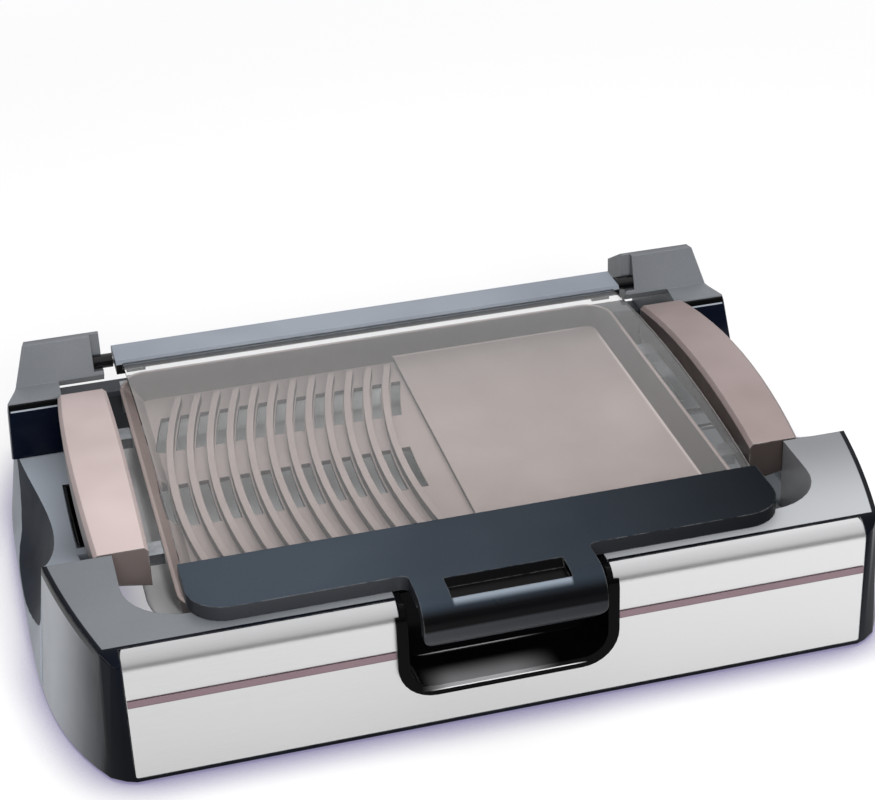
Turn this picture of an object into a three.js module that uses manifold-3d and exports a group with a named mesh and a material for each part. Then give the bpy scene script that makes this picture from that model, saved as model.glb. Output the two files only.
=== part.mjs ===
// Electric grill for a countertop: an open base, a drip tray, a ribbed cooking plate that carries its
// heating element, and an arched glass lid that turns on pivot blocks dropped into two rear towers.
// Millimetres, +Z up, +X to the right, +Y to the back. The origin is the middle of the outer box, on
// the surface that the grill stands on.
import * as THREE from "three";
import { mergeVertices } from "three/addons/utils/BufferGeometryUtils.js";
import Module from "manifold-3d";

const wasm = await Module();
wasm.setup();

// Gaps and cuts
const seatGap = 0.3; // between two pieces that rest on each other
const cutOverrun = 2; // how far a cutter reaches past what it cuts
const shellWall = 3; // moulded walls of the base

// Cooking plate
const plateHalfWidth = 192;
const plateHalfDepth = 159;
const plateRadius = 21;
const plateRimTop = 74;
const plateBottom = 55;
const plateDraft = 3;
const plateRimWide = 2.4;
const plateWallRun = 11;
const griddleTop = 62;
const valleyTop = 58.5;
const dividerX = 17;
const ribCount = 12;
const ribPitch = 14.5;
const ribFirstInset = 18.5; // of the first rib's apex from the edge of the plate
const ribWide = 5;
const ribHigh = 6.5;
const ribCentreY = -16;
const ribArcRadius = 468;
const slotWide = 7;
// Ends of the ribs and of the rows of slots, in shares of the half depth of the plate
const ribEndShares = [-0.893, 0.805];
const slotRowShares = [
  [-0.755, -0.59],
  [-0.25, 0.1],
  [0.39, 0.705],
];

// Drip tray
const trayOverhang = 16; // of the tray beyond the plate on each side
const trayShort = 7; // of the tray behind the plate's front and rear
const trayRadius = 61;
const trayRimTop = 44;
const traySheet = 1.2;
const trayRimWide = 14;
const trayWallRun = 9;
const trayDeep = 13;
const trayPadHigh = 2;
const trayPadSlope = 3;
// Corners of the front and the right raised panel, in shares of the half sizes of the tray's floor
const frontPadShares = [
  [-0.665, -0.96],
  [0.665, -0.96],
  [0.36, -0.545],
  [-0.36, -0.545],
];
const sidePadShares = [
  [0.95, -0.86],
  [0.95, 0.86],
  [0.335, 0.29],
  [0.335, -0.29],
];

// Well of the base, round the tray
const wellSideClear = 19.5;
const wellEndClear = 38;
const wellRadius = 39;

// Base outline
const baseSideWide = 17.5; // from the well to the side, at the corners
const baseFrontWide = 35;
const baseRearWide = 25;
const sideBowTop = 35; // how far the sides swell past the front corners, at the height of the block
const sideBowFoot = 40; // the same at the foot
const cornerRadius = 9;
const blockTop = 94;
const housingFoot = 2; // lower edge of the housings
const blockSideRun = 78; // of the block's arms behind the front of the well
const roundEdge = 13.5; // rolled upper edge of the front
const rearRailTop = 45;

// Saddles between the block and the towers
const saddleLow = 45;
const saddleRadius = 276;
const saddleLowY = 50;
const scoopDepth = 24; // how far the left outer wall is drawn in under the plate handle
const scoopDepthRight = 38; // on the right, to make room for the plug-in control
const scoopRiseRight = 0.4; // the smaller, the steeper the right scoop's two ends
const scoopFootHeight = 8;
const scoopHollowShare = 0.4;

// Plate handles
const handleGap = 12; // between the plate and a handle
const handleWide = 35;
const handleBow = 4;
const handleLength = 219;
const handleSetForward = 1;
const handleEndTop = 94.3;
const handleArch = 11;
const handleEndHigh = 22;
const handleOuterDrop = 1;
const handleInnerDrop = 7;
const handleSkin = 2.6;
const lugOffset = 78; // of each lug from the middle of the handle
const lugWide = 16;
const lugHigh = 8;
const lugTop = 72.5;
const lugScrewShank = 2;
const lugScrewHead = 3.9;
const lugScrewHeadThick = 2.6;
const lugScrewLength = 12.5;

// Bays that take the front ends of the plate handles
const baySideClear = 3.5;
const bayRun = 51;
const bayFloor = 61;

// Left recess and right probe guide
const recessRim = 4; // from the well to the recess
const recessWide = 14;
const recessFrontY = -38;
const recessRearY = 70;
const recessFloor = 18;
const insertWall = 2.2;
const spoutRun = 34; // of the recess's open side to the well
const spoutLow = 31;
const guideWide = 15;
const guideDeepWide = 12;
const guideHalfWidth = 22;
const guideTop = 72;
const guideStep = 41; // height at which the guide reaches out over the saddle
const tunnelHalfWidth = 17;
const tunnelLow = 43.5;
const tunnelHigh = 60;

// Hand notch in the front
const notchHalfWidth = 68;
const notchBottom = 30;
const notchRadius = 21;
const linerWall = 4;
const linerLip = 3.2; // width of the lip that laps over the panel
const linerLipThick = 2;
const linerTabTop = 84;
const linerCutHalfWidth = 38;
const linerCutBottom = 60;
const linerCutRadius = 7;

// Front panel and stripes
const panelMargin = 8.6; // of the panel from the front corners
const panelFoot = 5;
const panelThick = 1.2;
const panelTopRadius = 3;
const panelFootRadius = 1.5;
const panelRollTurn = 76; // degrees that the panel follows the rolled edge
const stripeHeight = 60.5;
const stripeWide = 5;
const stripeThick = 0.6;

// Covers, feet and screws
const coverThick = 2.5;
const coverLift = 0.3;
const footRadius = 9;
const footStem = 3;
const footStemLength = 5;
const frontFootInset = 23; // of a foot from the front corner along X
const frontFootSetback = 25; // and from the front
const rearFootInset = 40;
const coverScrewInset = 85;
const coverScrewSetback = 18;
const coverScrewShank = 1.6;
const coverScrewHead = 3.2;
const coverScrewHeadThick = 1.5;
const coverScrewLength = 14;
const bossRadius = 4.5;
const bossHeight = 24;

// Towers
const towerRim = 8; // from the well to a tower
const towerRun = 74; // of the towers in front of the rear of the well
const towerNoseRun = 15; // how far the leaning front reaches forward at its foot
const towerLedge = 88.5; // top of the low front part
const crownSetback = 19;
const crownFoot = 91.5;
const crownLean = 8;
const crownTop = 120;
const crownRun = 7; // of the crown's flat top, before it slopes down to the rear
const crownDraw = 3; // how far the crown's outer side is drawn in
const towerSwell = 5; // how far the ledge's front corner reaches past the side of the base
const towerRearShoulder = 86;
const towerShoulderInset = 8;
const towerRearTop = 78;
const headClear = 8.5; // between the lid's rear bar and a hinge head
const headRearInset = 36;
const faceThick = 1.6; // along Y
const faceMargin = 1;

// Ledges that carry the tray and rests that carry the plate
const ledgeThick = 3;
const frontLedgeStart = 47; // behind the front of the well
const leftLedgeLength = 30;
const rightLedgeLength = 39;
const gussetDrop = 20;
const shelfRibReach = 1;
const shelfRibY = 82;
const shelfRibPitch = 16;
const shelfRibCount = 3;
const shelfRibThick = 3;
const shelfRibLow = 10;
const shelfRibRound = 18;
const shelfRibShoulder = 5.2; // between the wall and a rib's rounded end
const shelfWallThick = 3;
const restInset = 10; // from the edge of the plate to the middle of a rest
const restWide = 12;
const restThick = 5;
const restFoot = 30;
const restLap = 12; // of the plate over a rest

// Heating element and its terminals
const elementRadius = 3.3;
const elementFrontY = -68;
const elementRearY = 40;
const elementRib = 2; // the rib over its left run, counted from 0 at the left
const elementShift = 0.4; // of the left run from that rib, which bends away from it
const elementTurnX = 104;
const elementBend = 17;
const terminalHalfPitch = 12;
const terminalInset = 16; // of the terminal block from the edge of the plate
const terminalLong = 26;
const terminalHalfWidth = 21;
const terminalHigh = 9.2;
const pinRadius = 2.5;
const pinReach = 46;
const pinSeat = 12;
const sleeveRadius = 3.1;
const sleeveBore = 2.1;
const sleeveReach = 26;
const clipThick = 1.4;
const clipWide = 12;
const clipFlange = 9;
const clipX = -30;

// Lid
const barThick = 10;
const rearBarOverhang = 1.5; // beyond the plate on each side
const rearBarSetback = 351.5; // from the front of the base to the rear bar
const rearBarDepth = 30.5;
const barEdge = 2.4;
const frontBarShort = 1; // short of the plate on each side
const frontBarSetback = 19; // from the front of the base to the front bar
const frontBarDepth = 55;
const frontBarRadius = 25;
const glassThick = 4;
const glassShort = 3.5; // short of the plate on each side
const glassRise = 11;
const glassSeat = 6;
const glassCorner = 3;
const lidHandleHalfWidth = 58;
const handleRollRadius = 18;
const handleRollThick = 7;
const handleRollReach = 21; // from the bar's front edge to the axis of the roll
const handleRollTurn = 140; // degrees from the top of the roll to its lower lip
const handleLipRadius = 10; // of the two lower corners of the roll, seen from the front
const gripGrooveHalfWidth = 38;
const gripGrooveDeep = 5;
const gripGrooveForward = 9.5; // from the bar's front edge to the groove
const gripGrooveLength = 19.5;
const gripGrooveSlope = 4; // run of the slope at the rear of the groove
const gripHalfWidth = 39;
const gripForward = 7; // from the bar's front edge to the grip
const gripDrop = 6; // of the grip's lip below the end of the roll
const gripThick = 3.2;
const gripWeb = 3;
const gripLip = 17;

// Lid pivots
const pivotSetback = 15; // of the pivot axis from the front edge of the rear bar
const pivotPinRadius = 3;
const pivotPinSeat = 9;
const pivotPinReach = 11.5;
const pivotBlockRadius = 5.2;
const pivotBlockInner = 1;
const pivotBlockOuter = 15;
const pivotSlotGap = 0.4;
const clipPadLong = 14;
const clipPadWide = 10;
const clipPadThick = 3;

// Steps on curves
const cornerSteps = 8;
const ribSteps = 14;
const arcSteps = 12;
const roundSteps = 20;

// Places that follow from the sizes above
const trayHalfWidth = plateHalfWidth + trayOverhang;
const trayHalfDepth = plateHalfDepth - trayShort;
const wellHalfWidth = trayHalfWidth + wellSideClear;
const wellHalfDepth = trayHalfDepth + wellEndClear;
const baseHalfWidth = wellHalfWidth + baseSideWide;
const halfDepth = wellHalfDepth + (baseFrontWide + baseRearWide) / 2;
const frontY = -halfDepth;
const wellFrontY = frontY + baseFrontWide;
const wellRearY = halfDepth - baseRearWide;
const wellCentreY = (wellFrontY + wellRearY) / 2;
const blockRearY = wellFrontY + blockSideRun;
const towerFrontY = wellRearY - towerRun;
const towerNoseY = towerFrontY - towerNoseRun;
const saddleRearY = towerFrontY - seatGap;
const towerInnerX = wellHalfWidth + towerRim;
const crownFrontY = towerFrontY + crownSetback;
const crownRearY = crownFrontY + crownLean + crownRun;
const towerShoulderY = halfDepth - towerShoulderInset;
const headRearY = halfDepth - headRearInset;
const panelHalfWidth = baseHalfWidth - panelMargin;
const frontFootX = baseHalfWidth - frontFootInset;
const frontFootY = frontY + frontFootSetback;
const rearFootX = baseHalfWidth - rearFootInset;
const rearFootY = halfDepth - baseRearWide / 2;
const frontScrewX = baseHalfWidth - coverScrewInset;
const frontScrewY = frontY + coverScrewSetback;
const recessInnerX = wellHalfWidth + recessRim;
const recessOuterX = recessInnerX + recessWide;
const guideOuterX = recessInnerX + guideWide;
const guideDeepX = recessInnerX + guideDeepWide;
const handleInnerX = plateHalfWidth + handleGap;
const handleCentreY = wellCentreY - handleSetForward;
const bayOuterX = handleInnerX + handleWide + handleBow + baySideClear;
const bayRearY = blockRearY + bayRun;
const terminalOuterX = plateHalfWidth - terminalInset;
const terminalInnerX = terminalOuterX - terminalLong;
const rearBarHalfWidth = plateHalfWidth + rearBarOverhang;
const rearBarFrontY = frontY + rearBarSetback;
const rearBarRearY = rearBarFrontY + rearBarDepth;
const frontBarHalfWidth = plateHalfWidth - frontBarShort;
const frontBarFrontY = frontY + frontBarSetback;
const frontBarRearY = frontBarFrontY + frontBarDepth;
const glassHalfWidth = plateHalfWidth - glassShort;
const headInnerX = rearBarHalfWidth + headClear;
const lidLow = blockTop + seatGap;
const lidHigh = lidLow + barThick;
const rollAxisY = frontBarFrontY - handleRollReach;
const rollAxisZ = lidHigh - handleRollRadius;
const rollLipZ = rollAxisZ - handleRollRadius * Math.sin(THREE.MathUtils.degToRad(handleRollTurn - 90));
const pivotY = rearBarFrontY + pivotSetback;
const pivotZ = lidLow + barThick / 2;
const elementZ = plateBottom - seatGap - elementRadius;
const firstRibX = ribFirstInset - plateHalfWidth;
const elementLeftX = firstRibX + elementRib * ribPitch + elementShift;
const trayRimUnder = trayRimTop - traySheet;
const ledgeTop = trayRimUnder - seatGap;
const coverLow = housingFoot + coverLift;
const coverHigh = coverLow + coverThick;
const outerFrontY = rollAxisY - handleRollRadius;
const outerRearY = halfDepth;

const leftScoop = { depth: scoopDepth, rise: 1 };
const rightScoop = { depth: scoopDepthRight, rise: scoopRiseRight };

const finishes = {
  grey: { color: 0x85888c, roughness: 0.45, metalness: 0.1 },
  dark: { color: 0x1b2029, roughness: 0.4, metalness: 0.1 },
  black: { color: 0x0c0d10, roughness: 0.15, metalness: 0.0 },
  steel: { color: 0xc9c9ca, roughness: 0.3, metalness: 1.0 },
  mauve: { color: 0x9a8189, roughness: 0.5, metalness: 0.2 },
  taupe: { color: 0x9c8884, roughness: 0.4, metalness: 0.3 },
  tray: { color: 0xc6c6c7, roughness: 0.4, metalness: 0.4 },
  bar: { color: 0x3d4650, roughness: 0.4, metalness: 0.1 },
  zinc: { color: 0xa9acb0, roughness: 0.35, metalness: 0.9 },
  heater: { color: 0x5b5650, roughness: 0.5, metalness: 0.8 },
  ceramic: { color: 0xe6e0d4, roughness: 0.6, metalness: 0.0 },
  rubber: { color: 0x161616, roughness: 0.9, metalness: 0.0 },
  glass: { color: 0xe8eef0, roughness: 0.05, metalness: 0.0, transparent: true, opacity: 0.35 },
};

// Solids and their geometry

function toSolid(geometry) {
  const plain = geometry.index ? geometry.toNonIndexed() : geometry.clone();
  plain.deleteAttribute("normal");
  plain.deleteAttribute("uv");
  const merged = mergeVertices(plain);
  const made = new wasm.Mesh({
    numProp: 3,
    vertProperties: merged.attributes.position.array,
    triVerts: new Uint32Array(merged.index.array),
  });
  return new wasm.Manifold(made);
}

function toGeometry(solid) {
  const mesh = solid.getMesh();
  const geometry = new THREE.BufferGeometry();
  geometry.setAttribute("position", new THREE.BufferAttribute(mesh.vertProperties, 3));
  geometry.setIndex(new THREE.BufferAttribute(mesh.triVerts, 1));
  geometry.computeVertexNormals();
  return geometry;
}

function joined(...solids) {
  return solids.reduce((whole, next) => whole.add(next));
}

function cut(solid, ...cutters) {
  return cutters.reduce((whole, next) => whole.subtract(next), solid);
}

function mirrored(geometry) {
  const flipped = geometry.clone().applyMatrix4(new THREE.Matrix4().makeScale(-1, 1, 1));
  const index = flipped.index.array;
  for (let i = 0; i < index.length; i += 3) {
    [index[i + 1], index[i + 2]] = [index[i + 2], index[i + 1]];
  }
  flipped.computeVertexNormals();
  return flipped;
}

// A box from its lowest and highest corner.
function block(x0, x1, y0, y1, z0, z1) {
  const geometry = new THREE.BoxGeometry(x1 - x0, y1 - y0, z1 - z0);
  return toSolid(geometry.translate((x0 + x1) / 2, (y0 + y1) / 2, (z0 + z1) / 2));
}

function extruded(points, length, holes = []) {
  const shape = new THREE.Shape(points.map(([u, v]) => new THREE.Vector2(u, v)));
  for (const hole of holes) {
    shape.holes.push(new THREE.Path(hole.map(([u, v]) => new THREE.Vector2(u, v))));
  }
  return new THREE.ExtrudeGeometry(shape, { depth: length, bevelEnabled: false });
}

// Points are (x, y); the solid stands from z0 to z1.
function standing(points, z0, z1, holes = []) {
  return toSolid(extruded(points, z1 - z0, holes).translate(0, 0, z0));
}

// Points are (y, z); the solid runs from x0 to x1.
function acrossX(points, x0, x1) {
  const turn = new THREE.Matrix4().makeBasis(
    new THREE.Vector3(0, 1, 0),
    new THREE.Vector3(0, 0, 1),
    new THREE.Vector3(1, 0, 0),
  );
  return toSolid(extruded(points, x1 - x0).applyMatrix4(turn).translate(x0, 0, 0));
}

// Points are (x, z); the solid runs from y0 to y1.
function alongY(points, y0, y1) {
  const turn = new THREE.Matrix4().makeBasis(
    new THREE.Vector3(1, 0, 0),
    new THREE.Vector3(0, 0, 1),
    new THREE.Vector3(0, -1, 0),
  );
  return toSolid(extruded(points, y1 - y0).applyMatrix4(turn).translate(0, y1, 0));
}

function turned(profile, steps = roundSteps) {
  const points = profile.map(([r, h]) => new THREE.Vector2(r, h));
  const lathe = new THREE.LatheGeometry(points, steps);
  return lathe.rotateX(Math.PI / 2);
}

function uprightRod(x, y, radius, z0, z1, steps = roundSteps) {
  const rod = new THREE.CylinderGeometry(radius, radius, z1 - z0, steps);
  return toSolid(rod.rotateX(Math.PI / 2).translate(x, y, (z0 + z1) / 2));
}

function crossRod(y, z, radius, x0, x1, steps = roundSteps) {
  const rod = new THREE.CylinderGeometry(radius, radius, x1 - x0, steps);
  return toSolid(rod.rotateZ(Math.PI / 2).translate((x0 + x1) / 2, y, z));
}

// A solid through rings of the same number of points, each ring flat and in the same turning sense.
// flat gives the two coordinates that a ring is drawn in.
function lofted(rings, flat) {
  const count = rings[0].length;
  const positions = rings.flat(2);
  const faces = [];
  for (let r = 0; r + 1 < rings.length; r++) {
    for (let i = 0; i < count; i++) {
      const j = (i + 1) % count;
      const a = r * count + i;
      const b = r * count + j;
      faces.push(a, b, b + count, a, b + count, a + count);
    }
  }
  const cap = (ring) => {
    const outline = ring.map((p) => new THREE.Vector2(p[flat[0]], p[flat[1]]));
    return THREE.ShapeUtils.triangulateShape(outline, []);
  };
  const last = (rings.length - 1) * count;
  for (const [a, b, c] of cap(rings[0])) faces.push(c, b, a);
  for (const [a, b, c] of cap(rings[rings.length - 1])) faces.push(last + a, last + b, last + c);
  const geometry = new THREE.BufferGeometry();
  geometry.setAttribute("position", new THREE.Float32BufferAttribute(positions, 3));
  geometry.setIndex(faces);
  const solid = toSolid(geometry);
  if (solid.volume() > 0) return solid;
  for (let i = 0; i < faces.length; i += 3) {
    [faces[i + 1], faces[i + 2]] = [faces[i + 2], faces[i + 1]];
  }
  geometry.setIndex(faces);
  return toSolid(geometry);
}

// Points of a circular arc, from angle a to angle b in degrees, both ends included.
function arc(cu, cv, radius, a, b, steps = arcSteps) {
  const points = [];
  for (let i = 0; i <= steps; i++) {
    const t = THREE.MathUtils.degToRad(a + ((b - a) * i) / steps);
    points.push([cu + radius * Math.cos(t), cv + radius * Math.sin(t)]);
  }
  return points;
}

function roundedRect(cu, cv, halfU, halfV, radius, steps = cornerSteps) {
  const u = halfU - radius;
  const v = halfV - radius;
  return [
    ...arc(cu + u, cv + v, radius, 0, 90, steps),
    ...arc(cu - u, cv + v, radius, 90, 180, steps),
    ...arc(cu - u, cv - v, radius, 180, 270, steps),
    ...arc(cu + u, cv - v, radius, 270, 360, steps),
  ];
}

function level(points, z) {
  return points.map(([x, y]) => [x, y, z]);
}

// A rounded tub: outlines given by their inset from the rim, each with its height.
function tub(halfX, halfY, radius, centreY, levels, steps = cornerSteps) {
  const rings = levels.map(([inset, z]) => {
    const outline = roundedRect(0, centreY, halfX - inset, halfY - inset, radius - inset, steps);
    return level(outline, z);
  });
  return lofted(rings, [0, 1]);
}

// Shape of the base

function sideX(y, z) {
  const t = y / halfDepth;
  const top = baseHalfWidth + sideBowTop * (1 - t * t);
  const foot = baseHalfWidth + sideBowFoot * (1 - t ** 4);
  return foot + ((top - foot) * z) / blockTop;
}

function saddleZ(y) {
  const run = y - saddleLowY;
  return saddleLow + saddleRadius - Math.sqrt(saddleRadius * saddleRadius - run * run);
}

// Side of the saddle frame: 0 at both ends and 1 in the middle of the scoop.
function scoopShare(y) {
  const along = (y - blockRearY) / (towerFrontY - blockRearY);
  return Math.sin(Math.PI * Math.min(Math.max(along, 0), 1));
}

function steppedY(y0, y1, count) {
  return Array.from({ length: count + 1 }, (_, i) => y0 + ((y1 - y0) * i) / count);
}

// Plan of the front block at height z, drawn inwards by inset.
function blockPlan(z, inset) {
  const half = baseHalfWidth;
  const rearY = blockRearY - inset;
  const near = frontY + inset;
  const chamfer = cornerRadius * (1 - Math.SQRT1_2);
  const right = [
    [half - cornerRadius - inset, near],
    [half - chamfer - inset, near + chamfer],
    ...steppedY(frontY + cornerRadius, rearY, 8).map((y) => [sideX(y, z) - inset, y]),
  ];
  const inner = wellHalfWidth + inset;
  const radius = wellRadius + inset;
  const cornerX = inner - radius;
  const cornerY = wellFrontY - inset + radius;
  const well = [[inner, rearY], ...arc(cornerX, cornerY, radius, 0, -90, cornerSteps)];
  const rightSide = [...right, ...well];
  const leftSide = rightSide.map(([x, y]) => [-x, y]).reverse();
  return level([...rightSide, ...leftSide], z);
}

function notchOutline(grow) {
  const half = notchHalfWidth + grow;
  const low = notchBottom - grow;
  const radius = notchRadius + grow;
  const high = blockTop + cutOverrun;
  return [
    [-half, high],
    ...arc(-half + radius, low + radius, radius, 180, 270, cornerSteps),
    ...arc(half - radius, low + radius, radius, 270, 360, cornerSteps),
    [half, high],
  ];
}

// Side view of the front, with its rolled upper edge, drawn inwards by inset.
function frontProfile(inset, low) {
  const radius = roundEdge - inset;
  const cy = frontY + roundEdge;
  const cz = blockTop - roundEdge;
  const rear = blockRearY + cutOverrun;
  return [
    [rear, low],
    [rear, blockTop - inset],
    ...arc(cy, cz, radius, 90, 180, arcSteps),
    [frontY + inset, low],
  ];
}

function screwBoss(x, y, top) {
  const shaft = uprightRod(x, y, bossRadius, coverHigh + seatGap, top);
  const bore = uprightRod(x, y, coverScrewShank + seatGap, coverHigh - seatGap, top - cutOverrun);
  return cut(shaft, bore);
}

function frontHousing() {
  const whole = lofted([blockPlan(housingFoot, 0), blockPlan(blockTop, 0)], [0, 1]);
  const reach = 2 * baseHalfWidth;
  const shaped = whole.intersect(acrossX(frontProfile(0, housingFoot), -reach, reach));
  const half = shellWall / 2;
  const ceiling = blockTop - shellWall;
  const hollow = lofted(
    [blockPlan(housingFoot - cutOverrun, shellWall), blockPlan(ceiling, shellWall)],
    [0, 1],
  ).intersect(acrossX(frontProfile(shellWall + panelThick + seatGap, -cutOverrun), -reach, reach));
  const walls = joined(
    alongY(notchOutline(shellWall), frontY, wellFrontY),
    block(-half, half, frontY + roundEdge, wellFrontY, coverHigh + seatGap, notchBottom),
  );
  const shell = joined(cut(shaped, hollow), walls.intersect(shaped));
  const bosses = [-1, 1].map((s) => screwBoss(s * frontScrewX, frontScrewY, bossHeight));
  const bossed = joined(shell, ...bosses.map((b, i) => joined(b, bossWeb(i ? 1 : -1))));
  const notch = alongY(notchOutline(0), frontY - cutOverrun, wellFrontY + cutOverrun);
  return cut(bossed, notch, panelRecess());
}

// A web that ties a screw boss to the front wall.
function bossWeb(side) {
  const x = side * frontScrewX;
  const half = shellWall / 2;
  const near = frontY + shellWall;
  const far = frontScrewY - coverScrewShank - seatGap;
  return block(x - half, x + half, near, far, coverHigh + seatGap, bossHeight);
}

// The panel's place in the housing: a step as deep as the sheet and its gap.
function panelRecess() {
  const deep = panelThick + seatGap;
  const half = panelHalfWidth + seatGap;
  const low = panelFoot - seatGap;
  const cy = frontY + roundEdge;
  const cz = blockTop - roundEdge;
  const stop = 180 - panelRollTurn - 2;
  const band = [
    [frontY - cutOverrun, low],
    [frontY + deep, low],
    ...arc(cy, cz, roundEdge - deep, 180, stop, arcSteps),
    ...arc(cy, cz, roundEdge + cutOverrun, stop, 180, arcSteps),
  ];
  return acrossX(band, -half, half);
}

function frontPanel() {
  const cy = frontY + roundEdge;
  const cz = blockTop - roundEdge;
  const stop = 180 - panelRollTurn;
  const band = [
    [frontY, panelFoot],
    [frontY + panelThick, panelFoot],
    ...arc(cy, cz, roundEdge - panelThick, 180, stop, arcSteps),
    ...arc(cy, cz, roundEdge, stop, 180, arcSteps),
  ];
  const sheet = acrossX(band, -panelHalfWidth, panelHalfWidth);
  const topX = panelHalfWidth - panelTopRadius;
  const topZ = blockTop - panelTopRadius;
  const footX = panelHalfWidth - panelFootRadius;
  const footZ = panelFoot + panelFootRadius;
  const face = [
    ...arc(topX, topZ, panelTopRadius, 0, 90, cornerSteps),
    ...arc(-topX, topZ, panelTopRadius, 90, 180, cornerSteps),
    ...arc(-footX, footZ, panelFootRadius, 180, 270, cornerSteps),
    ...arc(footX, footZ, panelFootRadius, 270, 360, cornerSteps),
  ];
  const rounded = sheet.intersect(alongY(face, frontY - cutOverrun, frontY + roundEdge + cutOverrun));
  const notch = alongY(notchOutline(seatGap), frontY - cutOverrun, wellFrontY);
  return toGeometry(cut(rounded, notch));
}

function stripe() {
  const near = frontY - seatGap - stripeThick;
  const half = stripeWide / 2;
  const inner = notchHalfWidth + linerLip + seatGap;
  const low = stripeHeight - half;
  return toGeometry(block(inner, panelHalfWidth - seatGap, near, frontY - seatGap, low, stripeHeight + half));
}

function notchLiner() {
  const lipRear = frontY - seatGap;
  const lipFront = lipRear - linerLipThick;
  const rear = wellFrontY - seatGap;
  const outer = alongY(notchOutline(-seatGap), lipFront, rear);
  const lip = alongY(notchOutline(linerLip), lipFront, lipRear);
  const inner = alongY(notchOutline(-linerWall), lipFront - cutOverrun, rear - linerWall);
  const shell = cut(joined(outer, lip), inner);
  const top = blockTop - seatGap;
  const reach = notchHalfWidth + linerLip + cutOverrun;
  const sky = blockTop + 2 * cutOverrun;
  const above = block(-reach, reach, lipFront - cutOverrun, rear + cutOverrun, top, sky);
  const rearTop = block(-reach, reach, rear - linerWall, rear + cutOverrun, linerTabTop, sky);
  const high = linerTabTop + cutOverrun;
  const windowMid = (linerCutBottom + high) / 2;
  const windowHalf = (high - linerCutBottom) / 2;
  const window = alongY(
    roundedRect(0, windowMid, linerCutHalfWidth, windowHalf, linerCutRadius),
    rear - linerWall - cutOverrun,
    rear + cutOverrun,
  );
  const windowTop = block(
    -linerCutHalfWidth,
    linerCutHalfWidth,
    rear - linerWall - cutOverrun,
    rear + cutOverrun,
    windowMid,
    high,
  );
  const rollY = frontY + roundEdge;
  const rollZ = blockTop - roundEdge;
  const corner = cut(
    block(-reach, reach, lipFront - cutOverrun, rollY, rollZ, blockTop + cutOverrun),
    crossRod(rollY, rollZ, rollY - lipFront, -reach, reach, 4 * arcSteps),
  );
  return toGeometry(cut(shell, above, rearTop, window, windowTop, corner));
}

function frontCover() {
  const inset = shellWall + seatGap;
  const plate = lofted([blockPlan(coverLow, inset), blockPlan(coverHigh, inset)], [0, 1]);
  const near = frontY + shellWall + panelThick + 3 * seatGap;
  const room = block(-2 * baseHalfWidth, 2 * baseHalfWidth, near, 0, 0, blockTop);
  const holes = [-1, 1].flatMap((s) => [
    uprightRod(s * frontFootX, frontFootY, footStem + seatGap, -cutOverrun, coverHigh + cutOverrun),
    uprightRod(s * frontScrewX, frontScrewY, coverScrewShank + seatGap, -cutOverrun, coverHigh + cutOverrun),
  ]);
  return toGeometry(cut(plate.intersect(room), ...holes));
}

function rearCover() {
  const inset = shellWall + seatGap;
  const x = towerInnerX - seatGap - inset;
  const plate = block(-x, x, wellRearY + inset, halfDepth - inset, coverLow, coverHigh);
  const holes = [-1, 1].map((s) =>
    uprightRod(s * rearFootX, rearFootY, footStem + seatGap, -cutOverrun, coverHigh + cutOverrun),
  );
  return toGeometry(cut(plate, ...holes));
}

function rearRail() {
  const x = towerInnerX - seatGap;
  const edge = shellWall;
  const profile = [
    [wellRearY, housingFoot],
    [wellRearY, rearRailTop - edge],
    [wellRearY + edge, rearRailTop],
    [halfDepth - edge, rearRailTop],
    [halfDepth, rearRailTop - edge],
    [halfDepth, housingFoot],
  ];
  const whole = acrossX(profile, -x, x);
  const hollow = block(
    -x + shellWall,
    x - shellWall,
    wellRearY + shellWall,
    halfDepth - shellWall,
    -cutOverrun,
    rearRailTop - shellWall,
  );
  return toGeometry(cut(whole, hollow));
}

// Section of a saddle frame at y, drawn inwards by inset and with its foot at low. scoop gives how deep the
// outer wall is drawn in and how fast that starts.
function saddleSection(y, inset, low, scoop) {
  const top = saddleZ(y) - inset;
  const foot = sideX(y, 0) - inset;
  const share = scoopShare(y) ** scoop.rise;
  const edge = sideX(y, saddleZ(y)) - scoop.depth * share - inset;
  const power = 1 - scoopHollowShare * share;
  const base = housingFoot + scoopFootHeight;
  const inner = wellHalfWidth + seatGap + inset;
  const wall = [0, 0.2, 0.4, 0.6, 0.8, 1].map((s) => [
    foot - (foot - edge) * s ** power,
    y,
    base + (top - base) * s,
  ]);
  return [[inner, y, low], [foot, y, low], ...wall, [inner, y, top]];
}

function sideFrameSolid(scoop) {
  const y0 = blockRearY + seatGap;
  const y1 = saddleRearY;
  const stations = steppedY(y0, y1, 18);
  const whole = lofted(stations.map((y) => saddleSection(y, 0, housingFoot, scoop)), [0, 2]);
  const inside = steppedY(y0 + shellWall, y1 - shellWall, 16);
  const hollow = lofted(inside.map((y) => saddleSection(y, shellWall, -cutOverrun, scoop)), [0, 2]);
  return { whole, hollow };
}

// The lowered bay for a handle end, grown by a wall.
function handleBay(wall) {
  const inner = wellHalfWidth - cutOverrun;
  const near = blockRearY - cutOverrun;
  return block(inner, bayOuterX + wall, near, bayRearY + wall, bayFloor - wall, blockTop + cutOverrun);
}

// A saddle frame as a shell, with its bay and with whatever seat is put into it.
function sideFrameShell(seat, scoop) {
  const { whole, hollow } = sideFrameSolid(scoop);
  const bayWalls = handleBay(shellWall).intersect(whole);
  const inner = block(
    0,
    wellHalfWidth + seatGap + shellWall,
    blockRearY,
    towerFrontY,
    housingFoot,
    blockTop,
  ).intersect(whole);
  return cut(joined(cut(whole, hollow), inner, bayWalls, seat.intersect(whole)), handleBay(0));
}

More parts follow.
